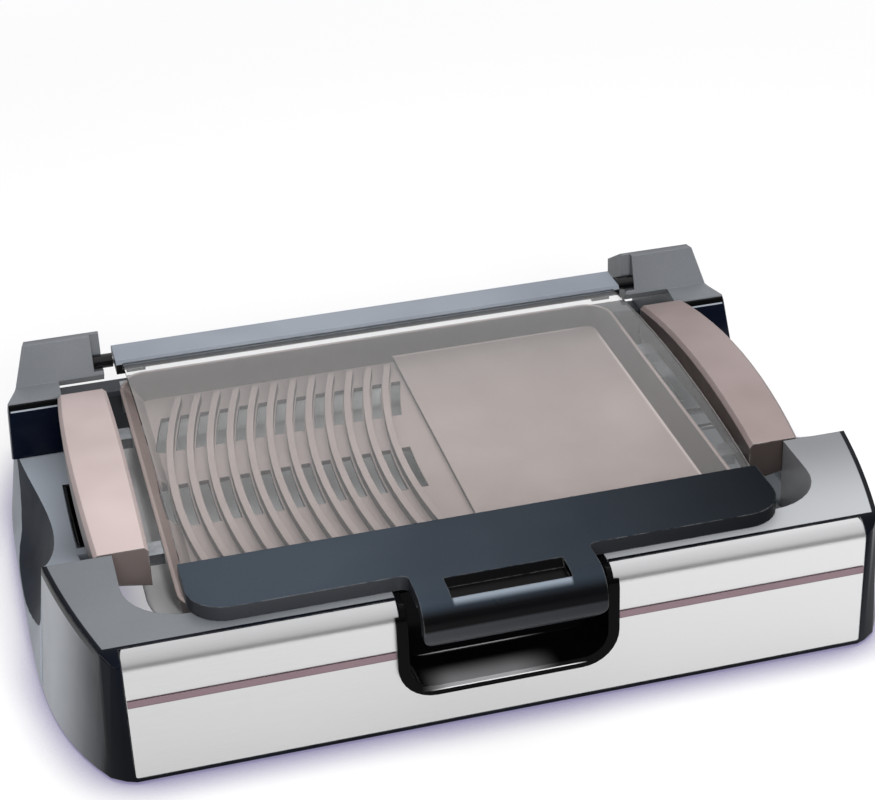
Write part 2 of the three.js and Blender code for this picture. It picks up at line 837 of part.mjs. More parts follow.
// The opening in the well wall through which the recess can be reached from the well, grown by a gap.
function recessSpout(x0, x1, grow) {
  const y0 = recessFrontY - grow;
  const y1 = recessFrontY + spoutRun + grow;
  return block(x0, x1, y0, y1, spoutLow - insertWall - grow, blockTop);
}

function sideFrameLeft() {
  const wall = insertWall + seatGap;
  const well = block(
    recessInnerX - wall,
    recessOuterX + wall,
    recessFrontY - wall,
    recessRearY + wall,
    recessFloor - wall,
    blockTop,
  );
  const pocket = block(
    recessInnerX - seatGap,
    recessOuterX + seatGap,
    recessFrontY - seatGap,
    recessRearY + seatGap,
    recessFloor - seatGap,
    blockTop,
  );
  const spout = recessSpout(wellHalfWidth - cutOverrun, recessInnerX, seatGap);
  return mirrored(toGeometry(cut(sideFrameShell(well, leftScoop), pocket, spout)));
}

function recessLinerLeft() {
  const { whole } = sideFrameSolid(leftScoop);
  const box = block(recessInnerX, recessOuterX, recessFrontY, recessRearY, recessFloor, blockTop);
  const outer = joined(box, recessSpout(wellHalfWidth + seatGap, recessInnerX + seatGap, 0));
  const inner = block(
    recessInnerX + insertWall,
    recessOuterX - insertWall,
    recessFrontY + insertWall,
    recessRearY - insertWall,
    recessFloor + insertWall,
    blockTop,
  );
  const mouth = block(
    wellHalfWidth - cutOverrun,
    recessInnerX + insertWall + cutOverrun,
    recessFrontY + insertWall,
    recessFrontY + spoutRun - insertWall,
    spoutLow,
    blockTop,
  );
  return mirrored(toGeometry(cut(outer.intersect(whole), inner, mouth)));
}

// Outer form of the probe guide, grown by a gap.
function guideForm(grow) {
  const y0 = wellCentreY - guideHalfWidth - grow;
  const y1 = wellCentreY + guideHalfWidth + grow;
  const top = guideTop + grow;
  const chamfer = insertWall * 2;
  const low = recessFloor - grow;
  const step = guideStep - grow;
  const near = recessInnerX - grow;
  const outline = [
    [near, low],
    [guideDeepX + grow, low],
    [guideDeepX + grow, step],
    [guideOuterX + grow, step],
    [guideOuterX + grow, top - 3 * chamfer],
    [guideOuterX - chamfer, top],
    [near, top],
  ];
  return alongY(outline, y0, y1);
}

function probeGuide() {
  const reach = guideOuterX + cutOverrun;
  const tunnel = block(
    recessInnerX - cutOverrun,
    reach,
    wellCentreY - tunnelHalfWidth,
    wellCentreY + tunnelHalfWidth,
    tunnelLow,
    tunnelHigh,
  );
  const core = block(
    recessInnerX + insertWall,
    guideDeepX - insertWall,
    wellCentreY - guideHalfWidth + insertWall,
    wellCentreY + guideHalfWidth - insertWall,
    recessFloor - cutOverrun,
    tunnelLow - insertWall,
  );
  return toGeometry(cut(guideForm(0), tunnel, core));
}

function sideFrameRight() {
  const seat = guideForm(insertWall + seatGap);
  const lane = block(
    wellHalfWidth - cutOverrun,
    baseHalfWidth + sideBowFoot,
    wellCentreY - tunnelHalfWidth,
    wellCentreY + tunnelHalfWidth,
    tunnelLow,
    blockTop,
  );
  return toGeometry(cut(sideFrameShell(seat, rightScoop), guideForm(seatGap), lane));
}

// Front of a tower at a depth behind its leaning face, from its foot on the saddle to its top.
function towerFront(back) {
  const y = towerNoseY + back;
  return [
    [y, saddleZ(y) + seatGap],
    [towerFrontY + back, towerLedge],
  ];
}

// Side view of a tower; inset draws it inwards, behind the solid nose.
function towerProfile(inset, low) {
  const near = towerFrontY + seatGap + inset;
  const nose = [[towerFrontY + seatGap, saddleZ(towerFrontY) + seatGap], ...towerFront(faceThick + seatGap)];
  const front = inset > 0 ? [[near, towerLedge - inset]] : nose;
  return [
    [near, low],
    ...front,
    [crownFrontY + inset, crownFoot - inset],
    [crownFrontY + crownLean + inset, crownTop - inset],
    [crownRearY - inset, crownTop - inset],
    [towerShoulderY - inset, towerRearShoulder - inset],
    [halfDepth - inset, towerRearTop - inset],
    [halfDepth - inset, low],
  ];
}

// Outer side of a tower: it swells towards the ledge's front corner and is drawn in at the crown.
function towerSideX(y, z) {
  const fore = Math.min(Math.max((crownFrontY - y) / crownSetback, 0), 1);
  const rise = Math.min(Math.max((z - saddleLow) / (towerLedge - saddleLow), 0), 1);
  const above = Math.max((z - towerLedge) / (crownTop - towerLedge), 0);
  return sideX(y, z) + towerSwell * fore * rise - crownDraw * above;
}

// Plan of a tower at height z, drawn inwards by inset; its inner side is open.
function towerPlan(z, inset) {
  const near = towerNoseY + inset;
  const far = halfDepth - inset;
  const radius = cornerRadius - inset;
  const side = steppedY(near, far - radius, 7).map((y) => [towerSideX(y, z) - inset, y]);
  const cornerX = towerSideX(far - radius, z) - inset - radius;
  const rounded = arc(cornerX, far - radius, radius, 30, 90, 2);
  return level([[0, near], ...side, ...rounded, [0, far]], z);
}

function towerForm(inset, low) {
  const reach = 2 * baseHalfWidth;
  const high = crownTop + cutOverrun;
  const heights = [low, saddleLow, towerLedge, high];
  const plan = lofted(heights.map((z) => towerPlan(z, inset)), [0, 1]);
  const room = block(towerInnerX + inset, reach, 0, 2 * halfDepth, low - cutOverrun, high + cutOverrun);
  return plan.intersect(room).intersect(acrossX(towerProfile(inset, low), 0, reach));
}

function pivotSlot() {
  const half = pivotBlockRadius + pivotSlotGap;
  const outer = rearBarHalfWidth + pivotBlockOuter + pivotSlotGap;
  const low = pivotZ - pivotBlockRadius - seatGap;
  return block(headInnerX - cutOverrun, outer, pivotY - half, pivotY + half, low, crownTop + cutOverrun);
}

function tower() {
  const head = acrossX(
    [
      [crownFrontY, crownFoot],
      [crownFrontY + crownLean, crownTop],
      [headRearY, crownTop],
      [headRearY, crownFoot - crownLean],
      [crownFrontY + crownLean, crownFoot - crownLean],
    ],
    headInnerX,
    towerInnerX + shellWall,
  ).intersect(acrossX(towerProfile(0, housingFoot), 0, 2 * baseHalfWidth));
  const shell = cut(towerForm(0, housingFoot), towerForm(shellWall, -cutOverrun));
  return toGeometry(cut(joined(shell, head), pivotSlot()));
}

function towerFace() {
  const front = towerFront(0).map(([y, z]) => [y, z]);
  const rear = towerFront(faceThick).map(([y, z]) => [y, z]);
  const band = acrossX([...front, ...rear.reverse()], towerInnerX + faceMargin, 2 * baseHalfWidth);
  const low = saddleLow;
  const plan = lofted([towerPlan(low, faceMargin), towerPlan(towerLedge, faceMargin)], [0, 1]);
  const height = block(0, 2 * baseHalfWidth, 0, 2 * halfDepth, low, towerLedge - faceMargin);
  return toGeometry(band.intersect(plan).intersect(height));
}

// A bracket on the well wall that the front of the tray's rim lies on.
function frontTrayLedge(length) {
  const wallX = wellHalfWidth - seatGap;
  const under = ledgeTop - ledgeThick;
  const inner = trayHalfWidth - trayRimWide;
  const start = wellFrontY + frontLedgeStart;
  const end = start + length;
  const shelf = block(inner, wallX, start, end, under, ledgeTop);
  const wedge = [
    [inner + ledgeThick, under + ledgeThick / 2],
    [wallX, under + ledgeThick / 2],
    [wallX, under - gussetDrop],
    [wallX - ledgeThick, under - gussetDrop],
  ];
  const gussets = [
    alongY(wedge, start, start + ledgeThick),
    alongY(wedge, end - ledgeThick, end),
  ];
  return toGeometry(joined(shelf, ...gussets));
}

// Rounded ribs on the well wall that the rear of the tray's rim lies on.
function rearTrayLedge() {
  const wallX = wellHalfWidth - seatGap;
  const roundX = wallX - shelfRibShoulder - shelfRibRound;
  const tipX = trayHalfWidth - trayRimWide + shelfRibReach;
  const outline = [
    [wallX, shelfRibLow],
    [wallX, ledgeTop - shelfRibRound],
    ...arc(roundX, ledgeTop - shelfRibRound, shelfRibRound, 0, 90, 8),
    [tipX, ledgeTop],
    [tipX, ledgeTop - ledgeThick],
    [wallX - shelfRibRound / 2, shelfRibLow],
  ];
  const ribs = Array.from({ length: shelfRibCount }, (_, i) => {
    const y = shelfRibY + i * shelfRibPitch;
    return alongY(outline, y, y + shelfRibThick);
  });
  const last = shelfRibY + (shelfRibCount - 1) * shelfRibPitch + shelfRibThick;
  const wall = block(
    wallX - shelfWallThick,
    wallX,
    shelfRibY - shelfRibThick,
    last + shelfRibThick,
    shelfRibLow,
    ledgeTop - shelfRibRound,
  );
  return toGeometry(joined(wall, ...ribs));
}

// An arm on the well wall that a corner of the plate lies on; side is -1 at the front and 1 at the rear.
function plateRest(side) {
  const wall = wellHalfDepth - seatGap;
  const tip = plateHalfDepth - restLap;
  const restX = plateHalfWidth - restInset;
  const top = plateBottom - seatGap;
  const under = top - restThick;
  const outline = [
    [wall, restFoot],
    [wall, top],
    [tip, top],
    [tip, under],
    [wall - restThick, restFoot],
  ].map(([y, z]) => [wellCentreY + side * y, z]);
  return toGeometry(acrossX(outline, restX - restWide / 2, restX + restWide / 2));
}

function foot() {
  const geometry = turned([
    [0, 0],
    [footRadius, 0],
    [footRadius, housingFoot],
    [footStem, housingFoot],
    [footStem, housingFoot + footStemLength],
    [0, housingFoot + footStemLength],
  ]);
  return geometry;
}

function coverScrew() {
  const under = coverLow - seatGap;
  const geometry = turned([
    [0, under - coverScrewHeadThick],
    [coverScrewHead, under - coverScrewHeadThick],
    [coverScrewHead, under],
    [coverScrewShank, under],
    [coverScrewShank, under + coverScrewLength],
    [0, under + coverScrewLength],
  ]);
  return geometry;
}

// Raised panels of the tray floor, with diagonal channels between them.
function trayPads(floorHalfX, floorHalfY) {
  const placed = (shares) => shares.map(([u, v]) => [u * floorHalfX, v * floorHalfY]);
  const front = placed(frontPadShares);
  const right = placed(sidePadShares);
  const rear = front.map(([x, y]) => [x, -y]).reverse();
  const left = right.map(([x, y]) => [-x, y]).reverse();
  return [front, right, rear, left];
}

function padSolid(outline, low, high) {
  const cx = outline.reduce((sum, p) => sum + p[0], 0) / outline.length;
  const cy = outline.reduce((sum, p) => sum + p[1], 0) / outline.length;
  const topRing = outline.map(([x, y]) => {
    const far = Math.hypot(x - cx, y - cy);
    const share = (far - trayPadSlope) / far;
    return [cx + (x - cx) * share, wellCentreY + cy + (y - cy) * share, high];
  });
  const lowRing = outline.map(([x, y]) => [x, wellCentreY + y, low]);
  return lofted([lowRing, topRing], [0, 1]);
}

function dripTray() {
  const floorTop = trayRimTop - trayDeep;
  const steps = 2 * cornerSteps;
  const rim = tub(
    trayHalfWidth,
    trayHalfDepth,
    trayRadius,
    wellCentreY,
    [
      [0, trayRimUnder],
      [0, trayRimTop],
    ],
    steps,
  );
  const wallTop = trayRimWide;
  const wallLow = trayRimWide + trayWallRun;
  const pan = tub(
    trayHalfWidth,
    trayHalfDepth,
    trayRadius,
    wellCentreY,
    [
      [wallLow - traySheet, floorTop - traySheet],
      [wallTop - traySheet, trayRimTop],
    ],
    steps,
  );
  const hollow = tub(
    trayHalfWidth,
    trayHalfDepth,
    trayRadius,
    wellCentreY,
    [
      [wallLow, floorTop],
      [wallTop, trayRimTop],
      [wallTop, trayRimTop + cutOverrun],
    ],
    steps,
  );
  const sheet = cut(joined(rim, pan), hollow);
  const outlines = trayPads(trayHalfWidth - wallLow, trayHalfDepth - wallLow);
  const raised = outlines.map((o) => padSolid(o, floorTop - traySheet / 2, floorTop + trayPadHigh));
  const dented = outlines.map((o) =>
    padSolid(o, floorTop - traySheet - cutOverrun, floorTop + trayPadHigh - traySheet),
  );
  return toGeometry(cut(joined(sheet, ...raised), ...dented));
}

function ribArc(apexX, radiusOffset, y0, y1, steps) {
  const cx = apexX + ribArcRadius;
  const radius = ribArcRadius + radiusOffset;
  return steppedY(y0, y1, steps).map((y) => {
    const run = y - ribCentreY;
    return [cx - Math.sqrt(radius * radius - run * run), wellCentreY + y];
  });
}

// A curved strip that follows the ribs, as wide as given, between two places along the plate.
function ribStrip(apexX, wide, y0, y1, z0, z1, steps) {
  const outer = ribArc(apexX, wide / 2, y0, y1, steps);
  const inner = ribArc(apexX, -wide / 2, y0, y1, steps).reverse();
  return standing([...inner, ...outer], z0, z1);
}

function cookPlate() {
  const body = tub(plateHalfWidth, plateHalfDepth, plateRadius, wellCentreY, [
    [plateDraft, plateBottom],
    [0, plateRimTop],
  ]);
  const wallShare = (plateRimTop - griddleTop) / (plateRimTop - valleyTop);
  const run = plateWallRun / wallShare;
  const pan = tub(plateHalfWidth, plateHalfDepth, plateRadius, wellCentreY, [
    [plateRimWide + run, valleyTop],
    [plateRimWide, plateRimTop],
    [plateRimWide, plateRimTop + cutOverrun],
  ]);
  const reach = plateHalfWidth;
  const griddle = block(
    dividerX,
    reach - plateRimWide,
    wellCentreY - plateHalfDepth + plateRimWide,
    wellCentreY + plateHalfDepth - plateRimWide,
    plateBottom + plateDraft,
    griddleTop,
  ).intersect(body);
  const [ribLow, ribFar] = ribEndShares.map((share) => share * plateHalfDepth);
  const ribs = [];
  const slots = [];
  const floorLow = valleyTop - plateDraft / 2;
  for (let i = 0; i < ribCount; i++) {
    const x = firstRibX + i * ribPitch;
    ribs.push(ribStrip(x, ribWide, ribLow, ribFar, floorLow, valleyTop + ribHigh, ribSteps));
  }
  for (let i = 0; i <= ribCount; i++) {
    const x = firstRibX + (i - 1 / 2) * ribPitch;
    for (const row of slotRowShares) {
      const [y0, y1] = row.map((share) => share * plateHalfDepth);
      slots.push(ribStrip(x, slotWide, y0, y1, plateBottom - cutOverrun, plateRimTop, 3));
    }
  }
  return toGeometry(cut(joined(cut(body, pan), griddle, ...ribs), ...slots));
}

// The element's run under the plate, from one terminal round to the other.
class ElementPath extends THREE.CurvePath {
  constructor() {
    super();
    const front = wellCentreY + elementFrontY;
    const rear = wellCentreY + elementRearY;
    const nearPin = wellCentreY - terminalHalfPitch;
    const farPin = wellCentreY + terminalHalfPitch;
    const start = terminalInnerX - seatGap;
    const bend = elementBend;
    const at = (x, y) => new THREE.Vector3(x, y, elementZ);
    const line = (a, b) => this.add(new THREE.LineCurve3(a, b));
    const corner = (a, b, c) => this.add(new THREE.QuadraticBezierCurve3(a, b, c));
    const turn = elementTurnX;
    const left = elementLeftX;
    line(at(start, nearPin), at(turn + bend, nearPin));
    corner(at(turn + bend, nearPin), at(turn, nearPin), at(turn, nearPin - bend));
    line(at(turn, nearPin - bend), at(turn, front + bend));
    corner(at(turn, front + bend), at(turn, front), at(turn - bend, front));
    line(at(turn - bend, front), at(left + bend, front));
    corner(at(left + bend, front), at(left, front), at(left, front + bend));
    line(at(left, front + bend), at(left, rear - bend));
    corner(at(left, rear - bend), at(left, rear), at(left + bend, rear));
    line(at(left + bend, rear), at(turn, rear));
    corner(at(turn, rear), at(turn + bend, rear), at(turn + bend, (rear + farPin) / 2));
    corner(at(turn + bend, (rear + farPin) / 2), at(turn + bend, farPin), at(turn + 2 * bend, farPin));
    line(at(turn + 2 * bend, farPin), at(start, farPin));
  }
}

function heatingElement() {
  const section = new THREE.Shape(
    arc(0, 0, elementRadius, 0, 330, 11).map(([u, v]) => new THREE.Vector2(u, v)),
  );
  const path = new ElementPath();
  const tube = new THREE.ExtrudeGeometry(section, { steps: 90, extrudePath: path, bevelEnabled: false });
  return toGeometry(toSolid(tube));
}

function terminalBlock() {
  const high = plateBottom - seatGap;
  const low = high - terminalHigh;
  const body = alongY(
    roundedRect(
      (terminalInnerX + terminalOuterX) / 2,
      (low + high) / 2,
      (terminalOuterX - terminalInnerX) / 2,
      (high - low) / 2,
      insertWall / 2,
    ),
    wellCentreY - terminalHalfWidth,
    wellCentreY + terminalHalfWidth,
  );
  const seats = [-1, 1].map((s) =>
    crossRod(
      wellCentreY + s * terminalHalfPitch,
      elementZ,
      pinRadius + seatGap,
      terminalOuterX - pinSeat - seatGap,
      terminalOuterX + cutOverrun,
    ),
  );
  const bore = crossRod(
    wellCentreY,
    elementZ,
    sleeveBore,
    terminalInnerX + insertWall,
    terminalOuterX + cutOverrun,
  );
  return toGeometry(cut(body, ...seats, bore));
}

function terminalPin(side) {
  const y = wellCentreY + side * terminalHalfPitch;
  const start = terminalOuterX - pinSeat;
  const end = terminalOuterX + pinReach;
  const shaft = crossRod(y, elementZ, pinRadius, start, end - pinRadius);
  const nose = new THREE.CylinderGeometry(pinRadius, pinRadius / 2, pinRadius, roundSteps);
  nose.rotateZ(Math.PI / 2).translate(end - pinRadius / 2, y, elementZ);
  return toGeometry(joined(shaft, toSolid(nose)));
}

function probeSleeve() {
  const start = terminalOuterX + seatGap;
  const outer = crossRod(wellCentreY, elementZ, sleeveRadius, start, start + sleeveReach);
  const inner = crossRod(
    wellCentreY,
    elementZ,
    sleeveBore,
    start - cutOverrun,
    start + sleeveReach + cutOverrun,
  );
  return toGeometry(cut(outer, inner));
}

function elementClip(y) {
  const inner = elementRadius + seatGap;
  const outer = inner + clipThick;
  const top = plateBottom - seatGap;
  const under = top - clipThick;
  const band = [
    ...arc(y, elementZ, outer, 0, -180, arcSteps),
    [y - outer, under],
    [y - outer - clipFlange, under],
    [y - outer - clipFlange, top],
    [y - inner, top],
    ...arc(y, elementZ, inner, -180, 0, arcSteps),
    [y + inner, top],
    [y + outer + clipFlange, top],
    [y + outer + clipFlange, under],
    [y + outer, under],
  ];
  return toGeometry(acrossX(band, clipX - clipWide / 2, clipX + clipWide / 2));
}

// Section of a handle at a share s of its half length, drawn inwards by skin.
function handleSection(s, skin, low) {
  const y = handleCentreY + s * (handleLength / 2 - skin);
  const rise = 1 - s * s;
  const top = handleEndTop + handleArch * rise - skin;
  const outer = handleInnerX + handleWide + handleBow * rise - skin;
  const inner = handleInnerX + skin;
  const foot = handleEndTop - handleEndHigh + (handleArch * rise * 2) / 3;
  const edge = skin > 0 ? low : foot;
  return [
    [inner, y, skin > 0 ? low : edge - handleInnerDrop],
    [outer, y, skin > 0 ? low : edge - handleOuterDrop],
    [outer, y, top - handleSkin],
    [outer - handleSkin, y, top],
    [inner + handleSkin, y, top],
    [inner, y, top - handleSkin],
  ];
}

function plateHandle() {
  const shares = Array.from({ length: 13 }, (_, i) => -1 + i / 6);
  const whole = lofted(shares.map((s) => handleSection(s, 0, 0)), [0, 2]);
  const hollow = lofted(shares.map((s) => handleSection(s, handleSkin, plateBottom)), [0, 2]);
  const holes = [-1, 1].map((s) =>
    crossRod(
      handleCentreY + s * lugOffset,
      lugTop - lugHigh / 2,
      lugScrewShank + seatGap,
      handleInnerX - cutOverrun,
      handleInnerX + handleSkin + cutOverrun,
    ),
  );
  return toGeometry(cut(whole, hollow, ...holes));
}

function handleLug(side) {
  const y = handleCentreY + side * lugOffset;
  const x0 = plateHalfWidth + seatGap;
  const x1 = handleInnerX - seatGap;
  const body = block(x0, x1, y - lugWide / 2, y + lugWide / 2, lugTop - lugHigh, lugTop);
  const z = lugTop - lugHigh / 2;
  const bore = crossRod(y, z, lugScrewShank + seatGap, x0 + insertWall, x1 + cutOverrun);
  return toGeometry(cut(body, bore));
}

function handleScrew(side) {
  const y = handleCentreY + side * lugOffset;
  const z = lugTop - lugHigh / 2;
  const seat = handleInnerX + handleSkin + seatGap;
  const head = crossRod(y, z, lugScrewHead, seat, seat + lugScrewHeadThick);
  const shank = crossRod(y, z, lugScrewShank, seat - lugScrewLength + insertWall, seat + seatGap);
  return toGeometry(joined(head, shank));
}

// Side view of the glass: an arched band between its two edges, grown by a gap.
function glassBand(grow) {
  const y0 = frontBarRearY - glassSeat;
  const y1 = rearBarFrontY + glassSeat;
  const half = (y1 - y0) / 2;
  const mid = (y0 + y1) / 2;
  const radius = (half * half + glassRise * glassRise) / (2 * glassRise);
  const chordZ = lidLow + barThick / 2;
  const cz = chordZ + glassRise - radius;
  const reach = THREE.MathUtils.radToDeg(Math.asin((half + grow) / radius));
  const outer = radius + glassThick / 2 + grow;
  const inner = radius - glassThick / 2 - grow;
  return [
    ...arc(mid, cz, outer, 90 + reach, 90 - reach, roundSteps),
    ...arc(mid, cz, inner, 90 - reach, 90 + reach, roundSteps),
  ];
}

function glassSolid(grow) {
  const half = glassHalfWidth + grow;
  return acrossX(glassBand(grow), -half, half);
}

function lidGlass() {
  const y0 = frontBarRearY - glassSeat;
  const y1 = rearBarFrontY + glassSeat;
  const halfY = (y1 - y0) / 2 + glassThick;
  const outline = roundedRect(0, (y0 + y1) / 2, glassHalfWidth, halfY, glassCorner);
  return toGeometry(glassSolid(0).intersect(standing(outline, 0, crownTop + glassRise)));
}

function barProfile(y0, y1, z0, z1, edge) {
  return [
    [y0, z0],
    [y1, z0],
    [y1, z1 - edge],
    [y1 - edge, z1],
    [y0 + edge, z1],
    [y0, z1 - edge],
  ];
}

function lidRearBar() {
  const bar = acrossX(
    barProfile(rearBarFrontY, rearBarRearY, lidLow, lidHigh, barEdge),
    -rearBarHalfWidth,
    rearBarHalfWidth,
  );
  const bores = [-1, 1].map((s) => {
    const a = s * (rearBarHalfWidth - pivotPinSeat - seatGap);
    const b = s * (rearBarHalfWidth + cutOverrun);
    return crossRod(pivotY, pivotZ, pivotPinRadius + seatGap, Math.min(a, b), Math.max(a, b));
  });
  return toGeometry(cut(bar, glassSolid(seatGap), ...bores));
}

// Plan of the front bar with its middle handle root.
function frontBarPlan() {
  const half = frontBarHalfWidth;
  const r = frontBarRadius;
  const near = frontBarFrontY;
  const root = lidHandleHalfWidth;
  const fillet = barEdge * 2;
  const reach = near - handleRollReach;
  return [
    [half, frontBarRearY],
    [-half, frontBarRearY],
    ...arc(-half + r, near + r, r, 180, 270, cornerSteps),
    ...arc(-root - fillet, near - fillet, fillet, 90, 0, cornerSteps),
    [-root, reach],
    [root, reach],
    ...arc(root + fillet, near - fillet, fillet, 180, 90, cornerSteps),
    ...arc(half - r, near + r, r, 270, 360, cornerSteps),
  ];
}

function lidFrontBar() {
  const flat = standing(frontBarPlan(), lidLow, lidHigh);
  const stop = 90 + handleRollTurn;
  const inner = handleRollRadius - handleRollThick;
  const band = acrossX(
    [
      ...arc(rollAxisY, rollAxisZ, handleRollRadius, 90, stop, roundSteps),
      ...arc(rollAxisY, rollAxisZ, inner, stop, 90, roundSteps),
    ],
    -lidHandleHalfWidth,
    lidHandleHalfWidth,
  );
  const lipX = lidHandleHalfWidth - handleLipRadius;
  const lipZ = rollLipZ + handleLipRadius;
  const tongue = [
    [lidHandleHalfWidth, lidHigh + cutOverrun],
    [-lidHandleHalfWidth, lidHigh + cutOverrun],
    ...arc(-lipX, lipZ, handleLipRadius, 180, 270, cornerSteps),
    ...arc(lipX, lipZ, handleLipRadius, 270, 360, cornerSteps),
  ];
  const roll = band.intersect(alongY(tongue, outerFrontY - cutOverrun, frontBarRearY));
  const start = frontBarFrontY - gripGrooveForward;
  const end = start - gripGrooveLength;
  const groove = acrossX(
    [
      [start, lidHigh + cutOverrun],
      [start, lidHigh],
      [start - gripGrooveSlope, lidHigh - gripGrooveDeep],
      [end, lidHigh - gripGrooveDeep],
      [end, lidHigh + cutOverrun],
    ],
    -gripGrooveHalfWidth,
    gripGrooveHalfWidth,
  );
  return toGeometry(cut(joined(flat, roll), groove, glassSolid(seatGap)));
}

function handleGrip() {
  const tipZ = rollLipZ - gripDrop;
  const web = frontBarFrontY - gripForward;
  const top = lidLow - seatGap;
  const outline = [
    [web, top],
    [web - gripWeb, top],
    [web - gripWeb, tipZ + gripThick],
    [web - gripLip, tipZ + gripThick],
    [web - gripLip, tipZ],
    [web, tipZ],
  ];
  return toGeometry(acrossX(outline, -gripHalfWidth, gripHalfWidth));
}

function pivotPin() {
  const start = rearBarHalfWidth - pivotPinSeat;
  return toGeometry(crossRod(pivotY, pivotZ, pivotPinRadius, start, rearBarHalfWidth + pivotPinReach));
}

function pivotBlock() {
  const x0 = rearBarHalfWidth + pivotBlockInner;
  const x1 = rearBarHalfWidth + pivotBlockOuter;
  const body = crossRod(pivotY, pivotZ, pivotBlockRadius, x0, x1);
  const bore = crossRod(
    pivotY,
    pivotZ,
    pivotPinRadius + seatGap,
    x0 - cutOverrun,
    rearBarHalfWidth + pivotPinReach + seatGap,
  );
  return toGeometry(cut(body, bore));
}

function glassClip() {
  const x1 = glassHalfWidth - barEdge;
  const x0 = x1 - clipPadLong;
  const y0 = rearBarFrontY + insertWall;
  const high = lidLow - seatGap;
  return toGeometry(block(x0, x1, y0, y0 + clipPadWide, high - clipPadThick, high));
}

// The scene graph

const root = new THREE.Group();

function add(name, geometry, finish, x = 0, y = 0) {
  const mesh = new THREE.Mesh(geometry, new THREE.MeshStandardMaterial(finishes[finish]));
  mesh.name = name;
  mesh.position.set(x, y, 0);
  root.add(mesh);
}

function addPair(name, geometry, finish) {
  add(name + "_right", geometry, finish);
  add(name + "_left", mirrored(geometry), finish);
}

add("front_housing", toGeometry(frontHousing()), "grey");
add("front_bottom_cover", frontCover(), "dark");
add("front_panel", frontPanel(), "steel");
addPair("stripe", stripe(), "mauve");
add("notch_liner", notchLiner(), "black");
add("side_frame_left", sideFrameLeft(), "grey");
add("side_frame_right", sideFrameRight(), "grey");
add("recess_liner", recessLinerLeft(), "black");
add("probe_guide", probeGuide(), "black");
addPair("tower", tower(), "grey");
addPair("tower_face", towerFace(), "black");
add("rear_rail", rearRail(), "dark");
add("rear_bottom_cover", rearCover(), "dark");
add("tray_ledge_front_right", frontTrayLedge(rightLedgeLength), "grey");
add("tray_ledge_front_left", mirrored(frontTrayLedge(leftLedgeLength)), "grey");
addPair("tray_ledge_rear", rearTrayLedge(), "grey");
addPair("plate_rest_front", plateRest(-1), "grey");
addPair("plate_rest_rear", plateRest(1), "grey");

for (const [side, sideName] of [
  [-1, "left"],
  [1, "right"],
]) {
  add("foot_front_" + sideName, foot(), "rubber", side * frontFootX, frontFootY);
  add("foot_rear_" + sideName, foot(), "rubber", side * rearFootX, rearFootY);
  add("cover_screw_" + sideName, coverScrew(), "zinc", side * frontScrewX, frontScrewY);
}

add("drip_tray", dripTray(), "tray");

add("cook_plate", cookPlate(), "taupe");
add("heating_element", heatingElement(), "heater");
add("terminal_block", terminalBlock(), "ceramic");
add("terminal_pin_front", terminalPin(-1), "steel");
add("terminal_pin_rear", terminalPin(1), "steel");
add("probe_sleeve", probeSleeve(), "steel");
add("element_clip_front", elementClip(wellCentreY + elementFrontY), "zinc");
add("element_clip_rear", elementClip(wellCentreY + elementRearY), "zinc");
addPair("plate_handle", plateHandle(), "taupe");
addPair("handle_lug_front", handleLug(-1), "zinc");
addPair("handle_lug_rear", handleLug(1), "zinc");
addPair("handle_screw_front", handleScrew(-1), "zinc");
addPair("handle_screw_rear", handleScrew(1), "zinc");

add("lid_glass", lidGlass(), "glass");
add("lid_rear_bar", lidRearBar(), "bar");
add("lid_front_bar", lidFrontBar(), "bar");
add("handle_grip", handleGrip(), "black");
addPair("pivot_pin", pivotPin(), "steel");
addPair("pivot_block", pivotBlock(), "black");
addPair("glass_clip", glassClip(), "black");

root.position.y = -(outerFrontY + outerRearY) / 2;

export default root;
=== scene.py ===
# Electric grill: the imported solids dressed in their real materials, with the drip tray pressed from one
# sheet. Metres, +Z up, +X to the right, +Y to the back.
import math

import bmesh
import bpy
from mathutils import Matrix, Vector

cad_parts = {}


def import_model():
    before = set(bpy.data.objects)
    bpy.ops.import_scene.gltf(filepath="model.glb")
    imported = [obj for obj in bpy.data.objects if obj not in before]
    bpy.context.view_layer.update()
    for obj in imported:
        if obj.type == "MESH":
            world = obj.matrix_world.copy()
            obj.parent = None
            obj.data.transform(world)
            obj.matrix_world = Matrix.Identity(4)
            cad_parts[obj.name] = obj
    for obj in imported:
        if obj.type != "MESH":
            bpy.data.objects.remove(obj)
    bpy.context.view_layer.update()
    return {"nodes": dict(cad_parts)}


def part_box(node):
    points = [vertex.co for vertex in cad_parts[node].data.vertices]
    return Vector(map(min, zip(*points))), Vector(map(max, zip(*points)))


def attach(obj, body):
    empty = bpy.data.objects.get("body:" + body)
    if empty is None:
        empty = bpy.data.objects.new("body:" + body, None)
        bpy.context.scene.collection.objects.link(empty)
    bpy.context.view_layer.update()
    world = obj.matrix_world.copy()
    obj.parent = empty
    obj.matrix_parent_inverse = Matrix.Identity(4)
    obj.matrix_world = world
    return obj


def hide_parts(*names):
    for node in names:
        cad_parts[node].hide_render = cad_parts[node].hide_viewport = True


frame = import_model()
nodes = frame["nodes"]


# Small helpers


def srgb(code):
    """A linear colour from six hex digits."""
    parts = [int(code[i : i + 2], 16) / 255 for i in (0, 2, 4)]
    return tuple(p / 12.92 if p <= 0.04045 else ((p + 0.055) / 1.055) ** 2.4 for p in parts) + (1.0,)


def smoothstep(t):
    t = min(max(t, 0.0), 1.0)
    return t * t * (3 - 2 * t)


def smoother(t):
    t = min(max(t, 0.0), 1.0)
    return t * t * t * (t * (6 * t - 15) + 10)


WHITE = (1.0, 1.0, 1.0, 1.0)
BROWN_SHADE = srgb("1c1715")


